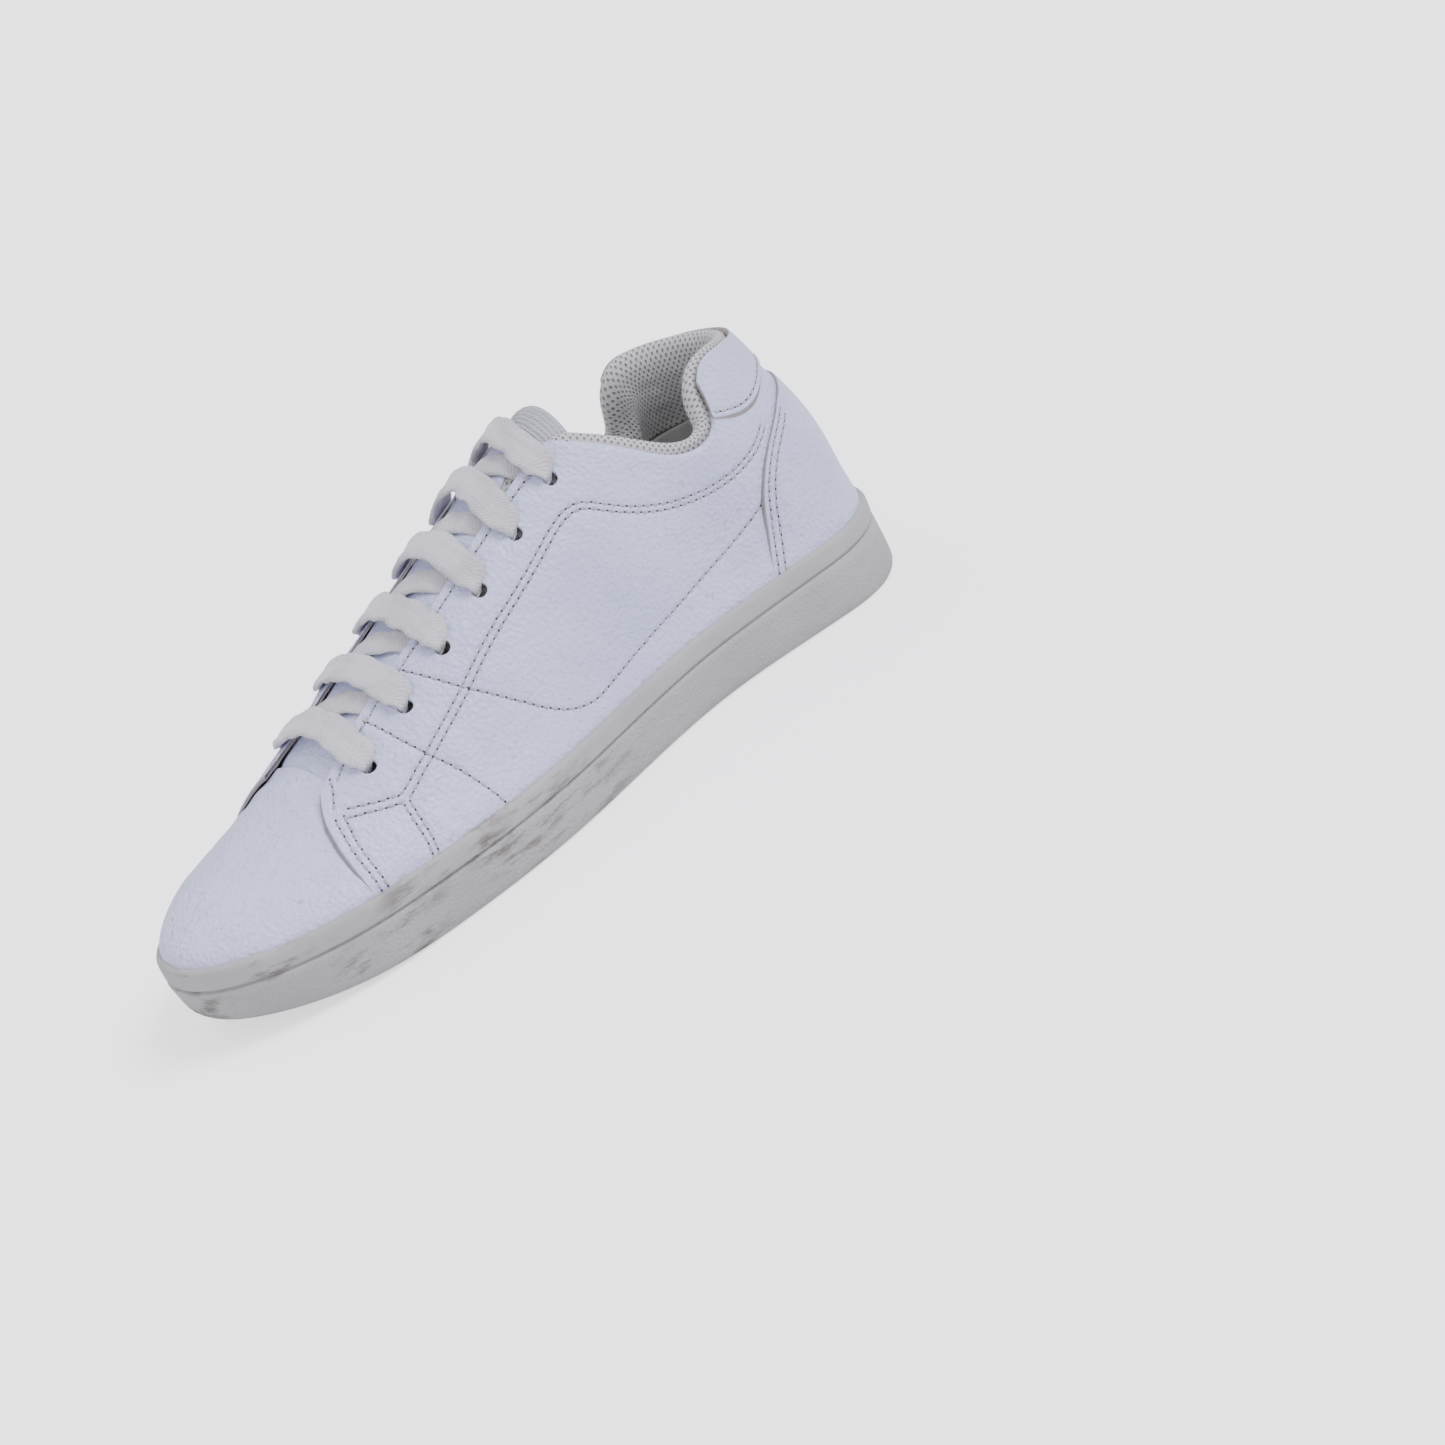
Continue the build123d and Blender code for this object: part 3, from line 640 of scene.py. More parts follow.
def stitch_lines():
    """Sewing lines on the quarters, each as (y, z) legs with its sideways offsets."""
    collar_row = [(103, 67.5), (95, 62.8), (86.5, 60.3), (70, 60.3), (52, 65.4), (42, 71), (36, 75.2),
                  (32, 77.4), (28, 77.6)]
    long_row = [(19, 74.6), (1, 66.5), (-15.6, 59.5), (-31, 52), (-45, 45.7), (-56, 41), (-63.8, 37.7)]
    front_row = [(-63.8, 37.7), (-71, 39.2), (-79.4, 40.9)]
    down_row = [(-63.8, 37.7), (-64.8, 33), (-65.7, 28), (-67.5, 20)]
    edge_row = [(-84.6, 20), (-84.4, 27), (-83.4, 34), (-80.4, 41.0)]
    low_row = [(91.5, 46.9), (86.5, 45), (58, 36.6), (33, 32), (12.6, 29), (2.7, 28.4), (-8.3, 32.7),
               (-18.7, 42), (-30, 53), (-36.6, 60), (-39.5, 63)]
    short_row = [(-56, 56), (-52, 46.5), (-46, 36), (-40.5, 21)]
    top_row = collar_row + long_row
    return [((top_row, front_row), (-0.95,)), ((top_row, down_row), (0.95,)),
            ((front_row[::-1], down_row), (-0.95,)), ((edge_row,), (-1.1, 1.1)), ((low_row,), (0.0,)),
            ((short_row,), (0.0,)), (([(-81.6, 43.6), (-78.5, 46), (-74.8, 49.6)],), (-1.9,))]


def joined(legs):
    """Smooth runs set end to end, with only a small rounding at the corners between them."""
    points = np.concatenate([run(leg, 400) for leg in legs])
    reach = travelled(points)
    line = picked(points, reach, np.arange(0, reach[-1], 0.4))
    return np.stack([averaged(column, 7, mode="reflect", reflect_type="odd") for column in line.T], -1)


def beside(points, offset):
    """A (y, z) run moved sideways by a distance."""
    direction = np.gradient(points, axis=0)
    direction /= np.linalg.norm(direction, axis=1)[:, None]
    return points + offset * np.stack([-direction[:, 1], direction[:, 0]], -1)


def on_quarter(points, side, g):
    """A (y, z) run laid on the quarter of a side, g outside its face."""
    t, v = from_side(points[:, 0], points[:, 1])
    return place(other_side(t, side), v, g)


quarter_rows = {1: [], -1: []}
throat_y = np.linspace(-74.0, 34.0, 500)
throat_v = from_above(throat_half(throat_y) + 2.3, throat_y)
for side in (1, -1):
    for line, offsets in stitch_lines():
        for offset in offsets:
            quarter_rows[side].append(on_quarter(beside(joined(line), offset), side, 0.0))
    quarter_rows[side].append(place(other_side(throat_y, side), throat_v, 0.0))

# ---- quarters


def quarter(name, side):
    """One side of the upper: from the front edge to the heel seam, up to the throat and the ankle line."""
    top = topline(side)
    under_tab = float(from_side(TURN, 81.5)[1])
    top[:, 1] = np.where(top[:, 0] > TURN, np.minimum(top[:, 1], under_tab), top[:, 1])
    r, _, r_high = edged(75.0, 0.55)
    s, s_front, _ = edged(225.0, 0.5)
    left = run(FRONT_EDGE, 200)
    left_t, left_v = from_side(left[:, 0], left[:, 1])
    share = np.linspace(0, 1, 200)
    front_t = np.interp(r, share, left_t)[:, None]
    t = front_t + (BACK - front_t) * s[None, :]
    low_v = from_side(np.minimum(t, TURN), 18.0)[1]
    top_v = np.interp(t[-1], top[:, 0], top[:, 1])
    front_v = np.interp(r, share, left_v)[:, None]
    ruled = low_v + (top_v[None, :] - low_v) * r[:, None]
    v = ruled + (front_v - ruled[:, :1]) * (1 - s[None, :]) ** 6
    v[-1] = top_v
    tau = other_side(t, side)
    flat = place(tau, v, 0.0)
    seam = strand_distance(flat, quarter_rows[side])
    puff = seam_relief(seam, 0.35)
    ankle = np.exp(-(((t - 74) / 26) ** 2)) * np.clip(r[:, None] * 2 - 0.9, 0, 1)
    relief = puff + ripple(tau, v, 3 + side, 26, 0.30) + ripple(tau, v, 9 + side, 9, 0.10) + 1.1 * ankle
    creases = np.exp(-(((t + 52) / 20) ** 2)) * np.sin(t * 0.62 + v * 9) * 0.16
    edge = np.maximum(rounding(r_high)[:, None], rounding(s_front)[None, :])
    relief = (relief + creases) * np.clip(r_high / 4, 0, 1)[:, None] ** 0.5
    outer = relief - edge
    inner = np.minimum(relief - LEATHER, -1.0)
    # the bevel shows the cut front edge as a strip that is partly painted shadow
    obj = shell(name, tau, v, outer, inner, [leather, cut_edge_and_shadow], True, (0, 0.7, 0))
    if side < 0:
        obj.data.flip_normals()
    return obj


def eyelet_point(row, side, g=0.0):
    t, v = from_side(*EYELETS[row])
    return place(other_side(t, side), v, g)


def punch_eyelets(obj, side):
    """Real holes: the faces inside a circle are removed, the rims drawn onto it and walled."""
    mesh = bmesh.new()
    mesh.from_mesh(obj.data)
    mesh.verts.ensure_lookup_table()
    for row in range(len(EYELETS)):
        centre = Vector(eyelet_point(row, side) / 1000)
        out = Vector(eyelet_point(row, side, 1.0) - eyelet_point(row, side, -1.0)).normalized()
        radius = EYELET_RADIUS / 1000

        def flat(co):
            away = co - centre
            return away - out * away.dot(out)

        near = [f for f in mesh.faces if (f.calc_center_median() - centre).length < 0.006]
        gone = [f for f in near if flat(f.calc_center_median()).length < radius]
        bmesh.ops.delete(mesh, geom=gone, context="FACES")
        rim = [e for e in mesh.edges if e.is_boundary and (e.verts[0].co - centre).length < 0.006]
        for vert in {v for e in rim for v in e.verts}:
            across = flat(vert.co)
            vert.co += across.normalized() * radius - across
        bmesh.ops.bridge_loops(mesh, edges=rim)
    for face in mesh.faces:
        face.smooth = True
    mesh.to_mesh(obj.data)
    mesh.free()


quarters = {}
for name, side in (("medial", 1), ("lateral", -1)):
    quarters[side] = piece = quarter(f"quarter_{name}_leather", side)
    punch_eyelets(piece, side)
    stand_for(piece, "shoe", "leather", f"quarter_{name}", f"eyelet_stay_{name}")

# ---- vamp


def toe_vamp():
    """Leather over the toes, sunk so that the quarters' front edges lie on it; it creases at its rear."""
    s, _, s_rear = edged(62.0, 0.45)
    y = -TOE_TIP + 1.6 + (TOE_TIP - 1.6 - 74.0) * s
    q = np.linspace(0.03, 1.97, 230)
    tau, v = np.meshgrid(y, q, indexing="ij")
    wrinkles = np.exp(-(((tau + 84) / 11) ** 2)) * np.sin(tau * 0.8 + 2.2 * np.sin(v * 4)) * 0.22
    relief = -1.95 + ripple(tau, v, 21, 34, 0.9) + ripple(tau, v, 25, 12, 0.22) + wrinkles
    outer = relief - rounding(s_rear)[:, None]
    return shell("toe_vamp_leather", tau, v, outer, relief - LEATHER, [leather, cut_edge_and_shadow], settled=True)


stand_for(toe_vamp(), "shoe", "leather", "toe_vamp", "toe_puff", "vamp_lining")

# ---- heel overlays


def coons(bottom, top, left, right, r, s):
    """Grid filled in between four (tau, v) border lines."""
    r, s = r[:, None, None], s[None, :, None]
    corners = (1 - r) * (1 - s) * bottom[0] + (1 - r) * s * bottom[-1]
    corners = corners + r * (1 - s) * top[0] + r * s * top[-1]
    return (1 - r) * bottom[None] + r * top[None] + (1 - s) * left[:, None] + s * right[:, None] - corners


def sample(line, shares):
    return picked(line, np.linspace(0, 1, len(line)), shares)


def around_heel(line):
    """A (t, v) line that ends at the heel, carried on down the other side."""
    line = line[line[:, 0] < BACK - 0.3]
    seam = np.array([[BACK, line[-1, 1]]])
    return np.concatenate([line, seam, np.stack([2 * BACK - line[:, 0], line[:, 1]], -1)[::-1]])


def even(line):
    """The same (t, v) line with even steps, at about 60 mm to one of v."""
    reach = travelled(line * (1, 60))
    return picked(line, reach, np.linspace(0, reach[-1], 400))


def overlay(name, low, high, front, height, rows_of_thread, lift, bevel):
    """Leather piece that wraps the heel on top of the quarters."""
    r, r_low, r_high = edged(height, 0.55)
    s, s_front, s_back = edged(125.0, 0.55)
    left = sample(np.stack(from_side(*run(front, 200).T), -1), r)
    right = np.stack([2 * BACK - left[:, 0], left[:, 1]], -1)
    grid = coons(sample(even(around_heel(low)), s), sample(even(around_heel(high)), s), left, right, r, s)
    tau, v = grid[..., 0], grid[..., 1]
    seam = strand_distance(place(tau, v, LEATHER), rows_of_thread)
    relief = lift + seam_relief(seam, 0.30) + ripple(tau, v, 31, 22, 0.35)
    edge = np.maximum(rounding(r_high)[:, None], np.maximum(rounding(s_front), rounding(s_back))[None, :])
    edge = np.maximum(edge, rounding(r_low)[:, None])
    return shell(name, tau, v, relief - edge, np.full_like(tau, 0.1), [leather, cut_edge_and_shadow], True, bevel)


def both_sides(points, g):
    """A (y, z) run as 3-D lines on the inner and the outer side."""
    t, v = from_side(points[:, 0], points[:, 1])
    return [place(t, v, g), place(2 * BACK - t, v, g)]


counter_rows = []
for offset in (-1.8, -4.3):
    counter_rows += both_sides(beside(run(COUNTER_EDGE, 260), offset), LEATHER)
tab_rows = both_sides(beside(run(TAB_LOW, 200), 1.7), LEATHER)

base_t = np.linspace(81.3, BACK, 60)
counter_low = np.stack([base_t, np.full(60, from_side(81.3, 19.0)[1])], -1)
counter_high = np.stack(from_side(*run([(112, 69), (121, 72), (131, 74)], 60).T), -1)
# the bevels show the counter's cut front edges as strips that are partly painted shadow
counter = overlay("heel_counter_leather", counter_low, counter_high, COUNTER_EDGE, 52.0, counter_rows, 1.35,
                  (0, 0.9, 0.9))
stand_for(counter, "shoe", "leather", "heel_counter", "counter_stiffener")
tab_front = [(85.2, 77.6), (86.0, 84.2), (86.2, 89.3)]
# the bevel shows the tab's cut lower edge as a strip that is partly painted shadow
tab = overlay("heel_tab_leather", np.stack(from_side(*run(TAB_LOW, 120).T), -1),
              np.stack(from_side(*run(HEEL_TOP, 120).T), -1), tab_front, 16.0, tab_rows, 1.9, (1.3, 0, 0))
stand_for(tab, "shoe", "leather", "heel_tab")

# ---- padded collar and lining


def collar():
    """Mesh band rolled over the topline, with its foam behind it, as one closed roll."""
    inner, outer = topline(1), topline(-1)
    inner = inner[inner[:, 0] > 35.5]
    outer = outer[outer[:, 0] > 35.5]
    line = np.concatenate([inner, np.stack([2 * BACK - outer[:, 0], outer[:, 1]], -1)[::-1][1:]])
    path = place(line[:, 0], line[:, 1], 0.0)
    reach = travelled(path)
    along = np.arange(0, reach[-1], 0.8)
    tau, v = picked(line, reach, along).T
    v_soft = averaged(v, 13)
    tau = averaged(tau, 13, mode="reflect", reflect_type="odd")
    t = np.where(tau > BACK, 2 * BACK - tau, tau)
    deep = np.interp(t, [36, 50, 66], [5.0, 6.2, 8.6])
    # section of the roll: height above the topline, and depth as a share of the full padding
    section = np.array([(-7.0, 0.17), (-3.0, 0.15), (-0.8, 0.08), (1.2, 0.00), (3.0, 0.06), (4.4, 0.22),
                        (4.9, 0.44), (4.4, 0.68), (2.4, 0.88), (-2.0, 1.02), (-8.0, 1.0), (-13.0, 0.90),
                        (-18.0, 0.72), (-22.5, 0.54), (-24.0, 0.44), (-20.0, 0.30), (-12.0, 0.22)])
    loop = np.concatenate([section, section[:1]])
    arc = travelled(loop * (1, 7))
    around = np.arange(0, arc[-1], 0.8)
    heights, depths = picked(loop, arc, around).T
    for _ in range(2):
        heights, depths = ((np.roll(a, 1) + a + np.roll(a, -1)) / 3 for a in (heights, depths))
    by_tau = (place(tau + 0.5, v_soft, 0.0) - place(tau - 0.5, v_soft, 0.0))
    by_v = (place(tau, v_soft + 0.005, 0.0) - place(tau, v_soft - 0.005, 0.0)) / 0.01
    way = np.gradient(place(tau, v_soft, 0.0), axis=0)
    way = np.stack([averaged(column, 25) for column in way.T], -1)
    square = np.cross(np.cross(by_tau, by_v), way)
    square /= np.linalg.norm(square, axis=1)[:, None]
    square *= np.sign((square * by_v).sum(1))[:, None]
    shares = np.array([np.linalg.lstsq(np.stack([a, b], 1), c, rcond=None)[0]
                       for a, b, c in zip(by_tau, by_v, square)])
    climb = 1 / np.linalg.norm(by_v, axis=1)
    ends = np.clip(np.minimum(along, along[-1] - along) / 7, 0.02, 1) ** 0.5
    lumps = ripple(along[:, None], heights[None] / 90, 41, 16, 0.5)
    # near the topline the roll keeps square to it, farther down it follows the wall
    near = np.clip(heights, -5, 5.5)[None] * ends[:, None]
    far = (heights - np.clip(heights, -5, 5.5))[None] * ends[:, None]
    vv = v_soft[:, None] + near * shares[:, 1:2] + far * climb[:, None]
    tt = tau[:, None] + near * shares[:, 0:1]
    gg = -deep[:, None] * (0.17 + (depths[None] - 0.17) * ends[:, None]) + lumps * (depths[None] - 0.1)
    verts = place(tt, vv, gg).reshape(-1, 3)
    rows, columns = vv.shape
    faces = grid_faces(rows, columns, wrap=True)
    uv = np.stack(np.broadcast_arrays(along[:, None], around[None]), -1).reshape(-1, 2)
    caps = [list(range(columns)), list(range((rows - 1) * columns, rows * columns))[::-1]]
    return new_object("collar_mesh", verts, faces.tolist() + caps, [spacer], uv=uv)


collar_roll = collar()
puffed(collar_roll, 0.7)
stand_for(collar_roll, "shoe", "mesh", "collar_lining", "collar_foam")


def inner_lining():
    """Cloth lining below the collar, all the way round from the vamp."""
    tau = np.concatenate([np.arange(-72, TURN, 2.0), np.arange(TURN, 2 * BACK - TURN, 1.0),
                          np.arange(2 * BACK - TURN, 2 * BACK + 72.1, 2.0)])
    t = np.where(tau > BACK, 2 * BACK - tau, tau)
    top_z = np.interp(t, [-72, -20, 33, 45, 60, 95, 135], [40, 58, 80, 74, 66, 66, 68])
    y = np.minimum(t, TURN)
    high = from_side(y, top_z)[1]
    r = np.linspace(0, 1, 34)
    low = from_side(y, footbed(y) + 4.5)[1]
    v = low + (high - low) * r[:, None]
    grid_tau = np.broadcast_to(tau, v.shape)
    face = np.full(v.shape, -4.4)
    return shell("quarter_lining_cloth", grid_tau, v, face + 1.0, face, [lining, lining])


stand_for(inner_lining(), "shoe", "lining", "quarter_lining_medial", "quarter_lining_lateral")

# ---- sole

PIVOT = (4.0, -50.0)  # middle of the turning rings under the ball of the foot


def tread_depth(x, y):
    """Depth of the grooves in the ground face: pivot rings and chevrons."""
    from_pivot = np.hypot(x - PIVOT[0], y - PIVOT[1])
    rings = np.min([np.abs(from_pivot - r) for r in (5, 12, 19, 26)], axis=0)
    beside_middle = np.abs(x - centre_line(y))
    slant = y + beside_middle * 0.40
    pitch = np.abs((slant + 4.5) % 9.0 - 4.5)
    forefoot = (y > -126) & (y < 20)
    heel = (y > 70) & (y < 118)
    chevrons = np.where((forefoot | heel) & (from_pivot > 33), pitch, 9.0)
    near = np.where(from_pivot < 30, rings, chevrons)
    inside = np.clip((sole_half(y, -10) - beside_middle) / 0.8, 0, 1)
    return 1.1 * np.clip((1.5 - near) / 0.7, 0, 1) * inside


def sole():
    """Cup sole: rim, smooth band, line, sandy wall, ground face with its tread, and the hollow."""
    count = len(OUTLINE)
    points, normals = OUTLINE, OUTLINE_WAY
    y = points[:, 1]
    rim_z, ground = foxing_top(np.clip(y, -140, 140)), sole_bottom(y)
    # (how far out, height below the rim)
    rim = [(-6.6, -9.0), (-6.0, -3.0), (-5.2, -1.1), (-4.4, -0.35), (-3.2, -0.02), (-1.9, 0.0), (-1.0, -0.18),
           (-0.4, -0.65), (-0.08, -1.35), (0.02, -2.6), (0.06, -4.2), (0.04, -5.7), (-0.05, -6.25),
           (-0.42, -6.46), (-1.0, -6.62), (-1.05, -6.9), (-1.0, -7.18), (-0.40, -7.34), (0.0, -7.6),
           (0.10, -8.1)]
    # (how far out, height above the ground as a share of what is left)
    wall = [(0.0, 0.86), (0.0, 0.74), (0.0, 0.60), (-0.02, 0.46), (-0.08, 0.33), (-0.18, 0.22), (-0.45, 0.12),
            (-0.95, 0.055), (-1.6, 0.018), (-2.6, 0.002)]
    flare = np.interp(y, [-140, -100, 60, 120], [-1.8, -0.8, -0.3, 1.8])
    rows = [(out, rim_z + drop) for out, drop in rim]
    rows += [(out + 0.08 + flare * (1 - share), ground + share * (rim_z - 8.1 - ground))
             for out, share in wall]
    wear = ripple(np.arange(count) * 0.6, 0 * y, 51, 30, 0.16)
    verts = []
    for k, (out, z) in enumerate(rows):
        shift = out + wear * (4 < k < 28) + 0 * y
        verts.append(np.column_stack([points + normals * shift[:, None], z]))
    edge = verts[-1]
    for k in range(1, 64):
        share = 1 - k / 63
        x = centre_line(edge[:, 1]) + (edge[:, 0] - centre_line(edge[:, 1])) * share
        z = sole_bottom(edge[:, 1]) + tread_depth(x, edge[:, 1])
        verts.append(np.column_stack([x, edge[:, 1], z]))
    x, y, _ = verts[0].T
    hollow = []
    for share in np.arange(13) / 12:
        across = centre_line(y) + (x - centre_line(y)) * share
        hollow.append(np.column_stack([across, y, np.minimum(sole_bottom(y) + 6, rim_z - 9.5)]))
    verts = hollow + verts
    faces = grid_faces(len(verts), count, wrap=True)
    return new_object("sole_rubber_shell", np.concatenate(verts), faces.tolist(), [rubber])


stand_for(sole(), "shoe", "rubber", "cup_outsole", "midsole_foam", "lasting_board")


def insole():
    """Sock liner with a slightly raised, rounded rim."""
    angle = np.linspace(0, 2 * pi, 420, endpoint=False)
    y = 2.0 - 126.5 * np.cos(angle)
    half = (half_width(y) - 10.6) * end_cap(-y, 78, 131) * end_cap(y, 92, 129.5)
    # the outer wall leans in over the insole, which needs room there to lift
    lean_room = np.interp(y, [-60, -10, 70, 115, 126], [0.0, 1.5, 1.7, 0.9, 0.0])
    x = centre_line(y) + half * np.sign(np.sin(angle)) + lean_room * (np.sin(angle) < 0)
    border_line = np.column_stack([x, y])
    rings = [(1.0, 1.8), (1.004, 3.6), (0.995, 5.4), (0.975, 6.1), (0.94, 6.2)]
    rings += [(share, 6.0 - 0.3 * (1 - share)) for share in np.linspace(0.88, 0.0, 20)]
    verts = []
    for share, height in [(0.0, 1.7), (0.5, 1.7), (0.98, 1.7)] + rings:
        xs = centre_line(y) + (border_line[:, 0] - centre_line(y)) * share
        verts.append(np.column_stack([xs, y, footbed(y) + height]))
    uv = np.concatenate([ring[:, :2] for ring in verts])
    faces = grid_faces(len(verts), len(y), wrap=True)
    return new_object("sock_liner", np.concatenate(verts), faces.tolist(), [lining], uv=uv)


stand_for(insole(), "insole", "lining", "insole_foam", "insole_cover")

# ---- tongue

# half the width of the padding and of the leather face along y
tongue_half = smooth((-90, 22), (-50, 23), (0, 22), (30, 21.5), (50, 21))
face_half = smooth((-90, 21), (-50, 21), (-12, 20), (6, 14), (22, 9.6), (50, 9.0))


def tongue_level(across, y):
    """Height of the padding's top: it swells up through the throat and ducks under the quarters."""
    outside = (np.abs(across) - throat_half(y)[:, None] + 1.4) / 3.2
    ducked = 1 / (1 + np.exp(-3.2 * outside))
    high = np.interp(y, [-86, -77, -71, -45, 20, 50], [-4.3, -4.1, -2.6, -2.3, -2.1, -2.5])[:, None]
    return high - 0.35 * ducked + ripple(y[:, None], across / 90, 61, 20, 0.25)


def tongue_sheet(name, materials, y, across, outer, inner):
    """Closed sheet that follows the form; across gives the sideways offset from the ridge."""
    yy = np.broadcast_to(y[:, None], across.shape)
    share = from_above(np.abs(across), yy)
    v = np.where(across >= 0, share, 2 - share)
    obj = shell(name, yy, v, outer, inner, materials)
    layer = obj.data.uv_layers.new(name="cloth")
    spots = np.array([obj.data.vertices[l.vertex_index].co for l in obj.data.loops]) * 1000
    layer.data.foreach_set("uv", np.ascontiguousarray(spots[:, :2], np.float32).ravel())
    return obj


def tongue_grid(start, end, half, rows, columns, square):
    """Rows along the tongue with a rounded end, as (y, distance across, share of the half width)."""
    y = np.linspace(start, end, rows)
    reach = half(y) * end_cap(y, end - 11, end + 0.6, square)
    s = np.linspace(-1, 1, columns)
    s = np.sign(s) * (1 - (1 - np.abs(s)) ** 1.25)
    return y, reach[:, None] * s[None, :], s


y, across, s = tongue_grid(-86.0, 46.5, tongue_half, 200, 110, 3.4)
end_share = np.clip((46.5 - y) / 4.0, 0.0, 1)[:, None]
swell = (1 - np.abs(s[None, :]) ** 7) ** 0.5 * (1 - (1 - end_share) ** 2) ** 0.5
thin_front = np.interp(y, [-86, -60, -30], [0.45, 0.8, 1.0])[:, None]
pad_mid = tongue_level(across, y) - 3.4 * thin_front
pad_top = pad_mid + 3.2 * swell * thin_front
pad_low = pad_mid - 2.6 * swell * thin_front - 0.15
padding = tongue_sheet("tongue_padding_mesh", [spacer, lining], y, across, pad_top, pad_low)
puffed(padding, 0.6)
y, across, s = tongue_grid(-86.0, 41.5, face_half, 260, 120, 3.2)
edge_mm = np.minimum((1 - np.abs(s))[None, :] * face_half(y)[:, None], (41.6 - y)[:, None])
lift = tongue_level(across, y) + 0.55 - 0.5 * (1 - np.clip(edge_mm / 1.6, 0, 1)) ** 2
face = tongue_sheet("tongue_leather", [leather, cut_edge_and_shadow], y, across, lift, lift - 1.5)
stand_for(padding, "tongue", "mesh", "tongue_foam", "tongue_lining", "tongue_binding")
stand_for(face, "tongue", "leather", "tongue_face")


def label():
    """Ribbed ribbon folded over the top of the tongue."""
    y = np.linspace(29.5, 46.1, 170)
    s = np.linspace(-1, 1, 90)
    across = np.broadcast_to(17.5 * s, (170, 90)) * end_cap(y, 38, 47.6, 3.4)[:, None]
    ribs = 0.24 * np.sin(y * 2 * pi / 1.5)[:, None]
    fall = np.interp(y, [29.5, 42, 44.8, 46.1], [0, 0.2, 1.2, 2.8])[:, None]
    side_fall = 1.2 * np.abs(s[None, :]) ** 4
    outer = tongue_level(across * 0.6, y) + 1.1 + ribs - fall - side_fall
    return tongue_sheet("tongue_ribbon", [ribbon, ribbon], y, across, outer, outer - 0.9)


stand_for(label(), "tongue", "ribbon", "tongue_label")

# ---- lace


LACE_SIDES = 48


def ribbon_tube(path, width_way, widths, heights, seed):
    """Soft flat tube along a path; returns vertices, faces and cloth coordinates."""
    tangent = np.gradient(path, axis=0)
    tangent /= np.linalg.norm(tangent, axis=1)[:, None]
    wide = width_way - tangent * (width_way * tangent).sum(1)[:, None]
    wide /= np.linalg.norm(wide, axis=1)[:, None]
    out = np.cross(tangent, wide)
    angle = np.linspace(0, 2 * pi, LACE_SIDES, endpoint=False)
    flat_x = np.sign(np.cos(angle)) * np.abs(np.cos(angle)) ** 0.75
    flat_y = np.sign(np.sin(angle)) * np.abs(np.sin(angle)) ** 0.9
    hollow = 1 - 0.30 * np.exp(-(flat_x / 0.5) ** 2)
    local = np.random.default_rng(seed)
    walk = travelled(path)
    wobble = sum(np.sin(walk[:, None] * local.uniform(0.2, 0.9) + angle * k + local.uniform(0, 6))
                 for k in (1, 2, 3)) * 0.045
    creases = sum(np.sin(walk[:, None] * local.uniform(-0.35, 0.35) + flat_x * k + local.uniform(0, 6))
                  for k in (5, 8, 11)) * 0.055
    verts = (path[:, None] + wide[:, None] * (flat_x * widths[:, None] / 2 * (1 + wobble))[..., None]
             + out[:, None] * (flat_y * hollow * heights[:, None] / 2 * (1 + wobble + creases))[..., None])
    faces = grid_faces(len(path), LACE_SIDES, wrap=True).tolist()
    last = len(path) * LACE_SIDES
    faces += [list(range(LACE_SIDES)), list(range(last - LACE_SIDES, last))[::-1]]
    uv = np.stack(np.broadcast_arrays(walk[:, None], angle[None] / (2 * pi) * 20), -1)
    return verts.reshape(-1, 3), faces, uv.reshape(-1, 2)


def mirrored(points):
    """A profile along half a run, carried on as its mirror image."""
    half = np.array(points)
    return np.concatenate([half, np.stack([1 - half[::-1, 0], half[::-1, 1]], -1)]).T


def lace_runs():
    """The bars on top and the slanting runs beneath, as (tau, v, g, width, thickness) paths."""
    f = 0.5 - 0.5 * np.cos(np.linspace(0, pi, 130))
    local = np.random.default_rng(12)
    for eyelet in EYELETS:
        t, v = from_side(*eyelet)
        slack = local.uniform(-0.5, 0.7)
        rise = np.interp(f, *mirrored([(0, -3.4), (0.012, -1.0), (0.035, 1.3), (0.07, 2.1), (0.16, 1.9),
                                       (0.30, 2.6 + slack), (0.45, 3.7 + slack)]))
        start = v + 0.016
        share = np.interp(f, [0, 0.03, 0.10, 0.90, 0.97, 1], [0, 0.004, 0.06, 0.94, 0.996, 1])
        across = start + (2 - 2 * start) * share
        sway = 1.1 * np.sin(f * pi * 2 + local.uniform(0, 6))
        wide = np.interp(f, *mirrored([(0, 3.0), (0.02, 4.2), (0.045, 7.4), (0.085, 9.6), (0.15, 10.6),
                                       (0.28, 10.2 + slack), (0.45, 9.8)]))
        thick = np.interp(f, *mirrored([(0, 2.3), (0.04, 2.6), (0.12, 2.9), (0.25, 2.5), (0.45, 2.3)]))
        yield t + sway * np.sin(f * pi), across, averaged(rise, 5), averaged(wide, 5), thick
    for eyelet, following in zip(EYELETS, EYELETS[1:]):
        t0, v0 = from_side(*eyelet)
        t1, v1 = from_side(*following)
        across = (2 - v0) + (v1 - (2 - v0)) * f
        rise = np.interp(f, *mirrored([(0, -1.9), (0.03, -2.4), (0.10, -2.4), (0.20, -1.9), (0.32, -0.8),
                                       (0.45, -0.4)]))
        wide = np.interp(f, *mirrored([(0, 3.0), (0.08, 4.4), (0.22, 7.4), (0.45, 8.0)]))
        yield t0 + (t1 - t0) * f, across, rise, wide, np.full_like(f, 1.3)


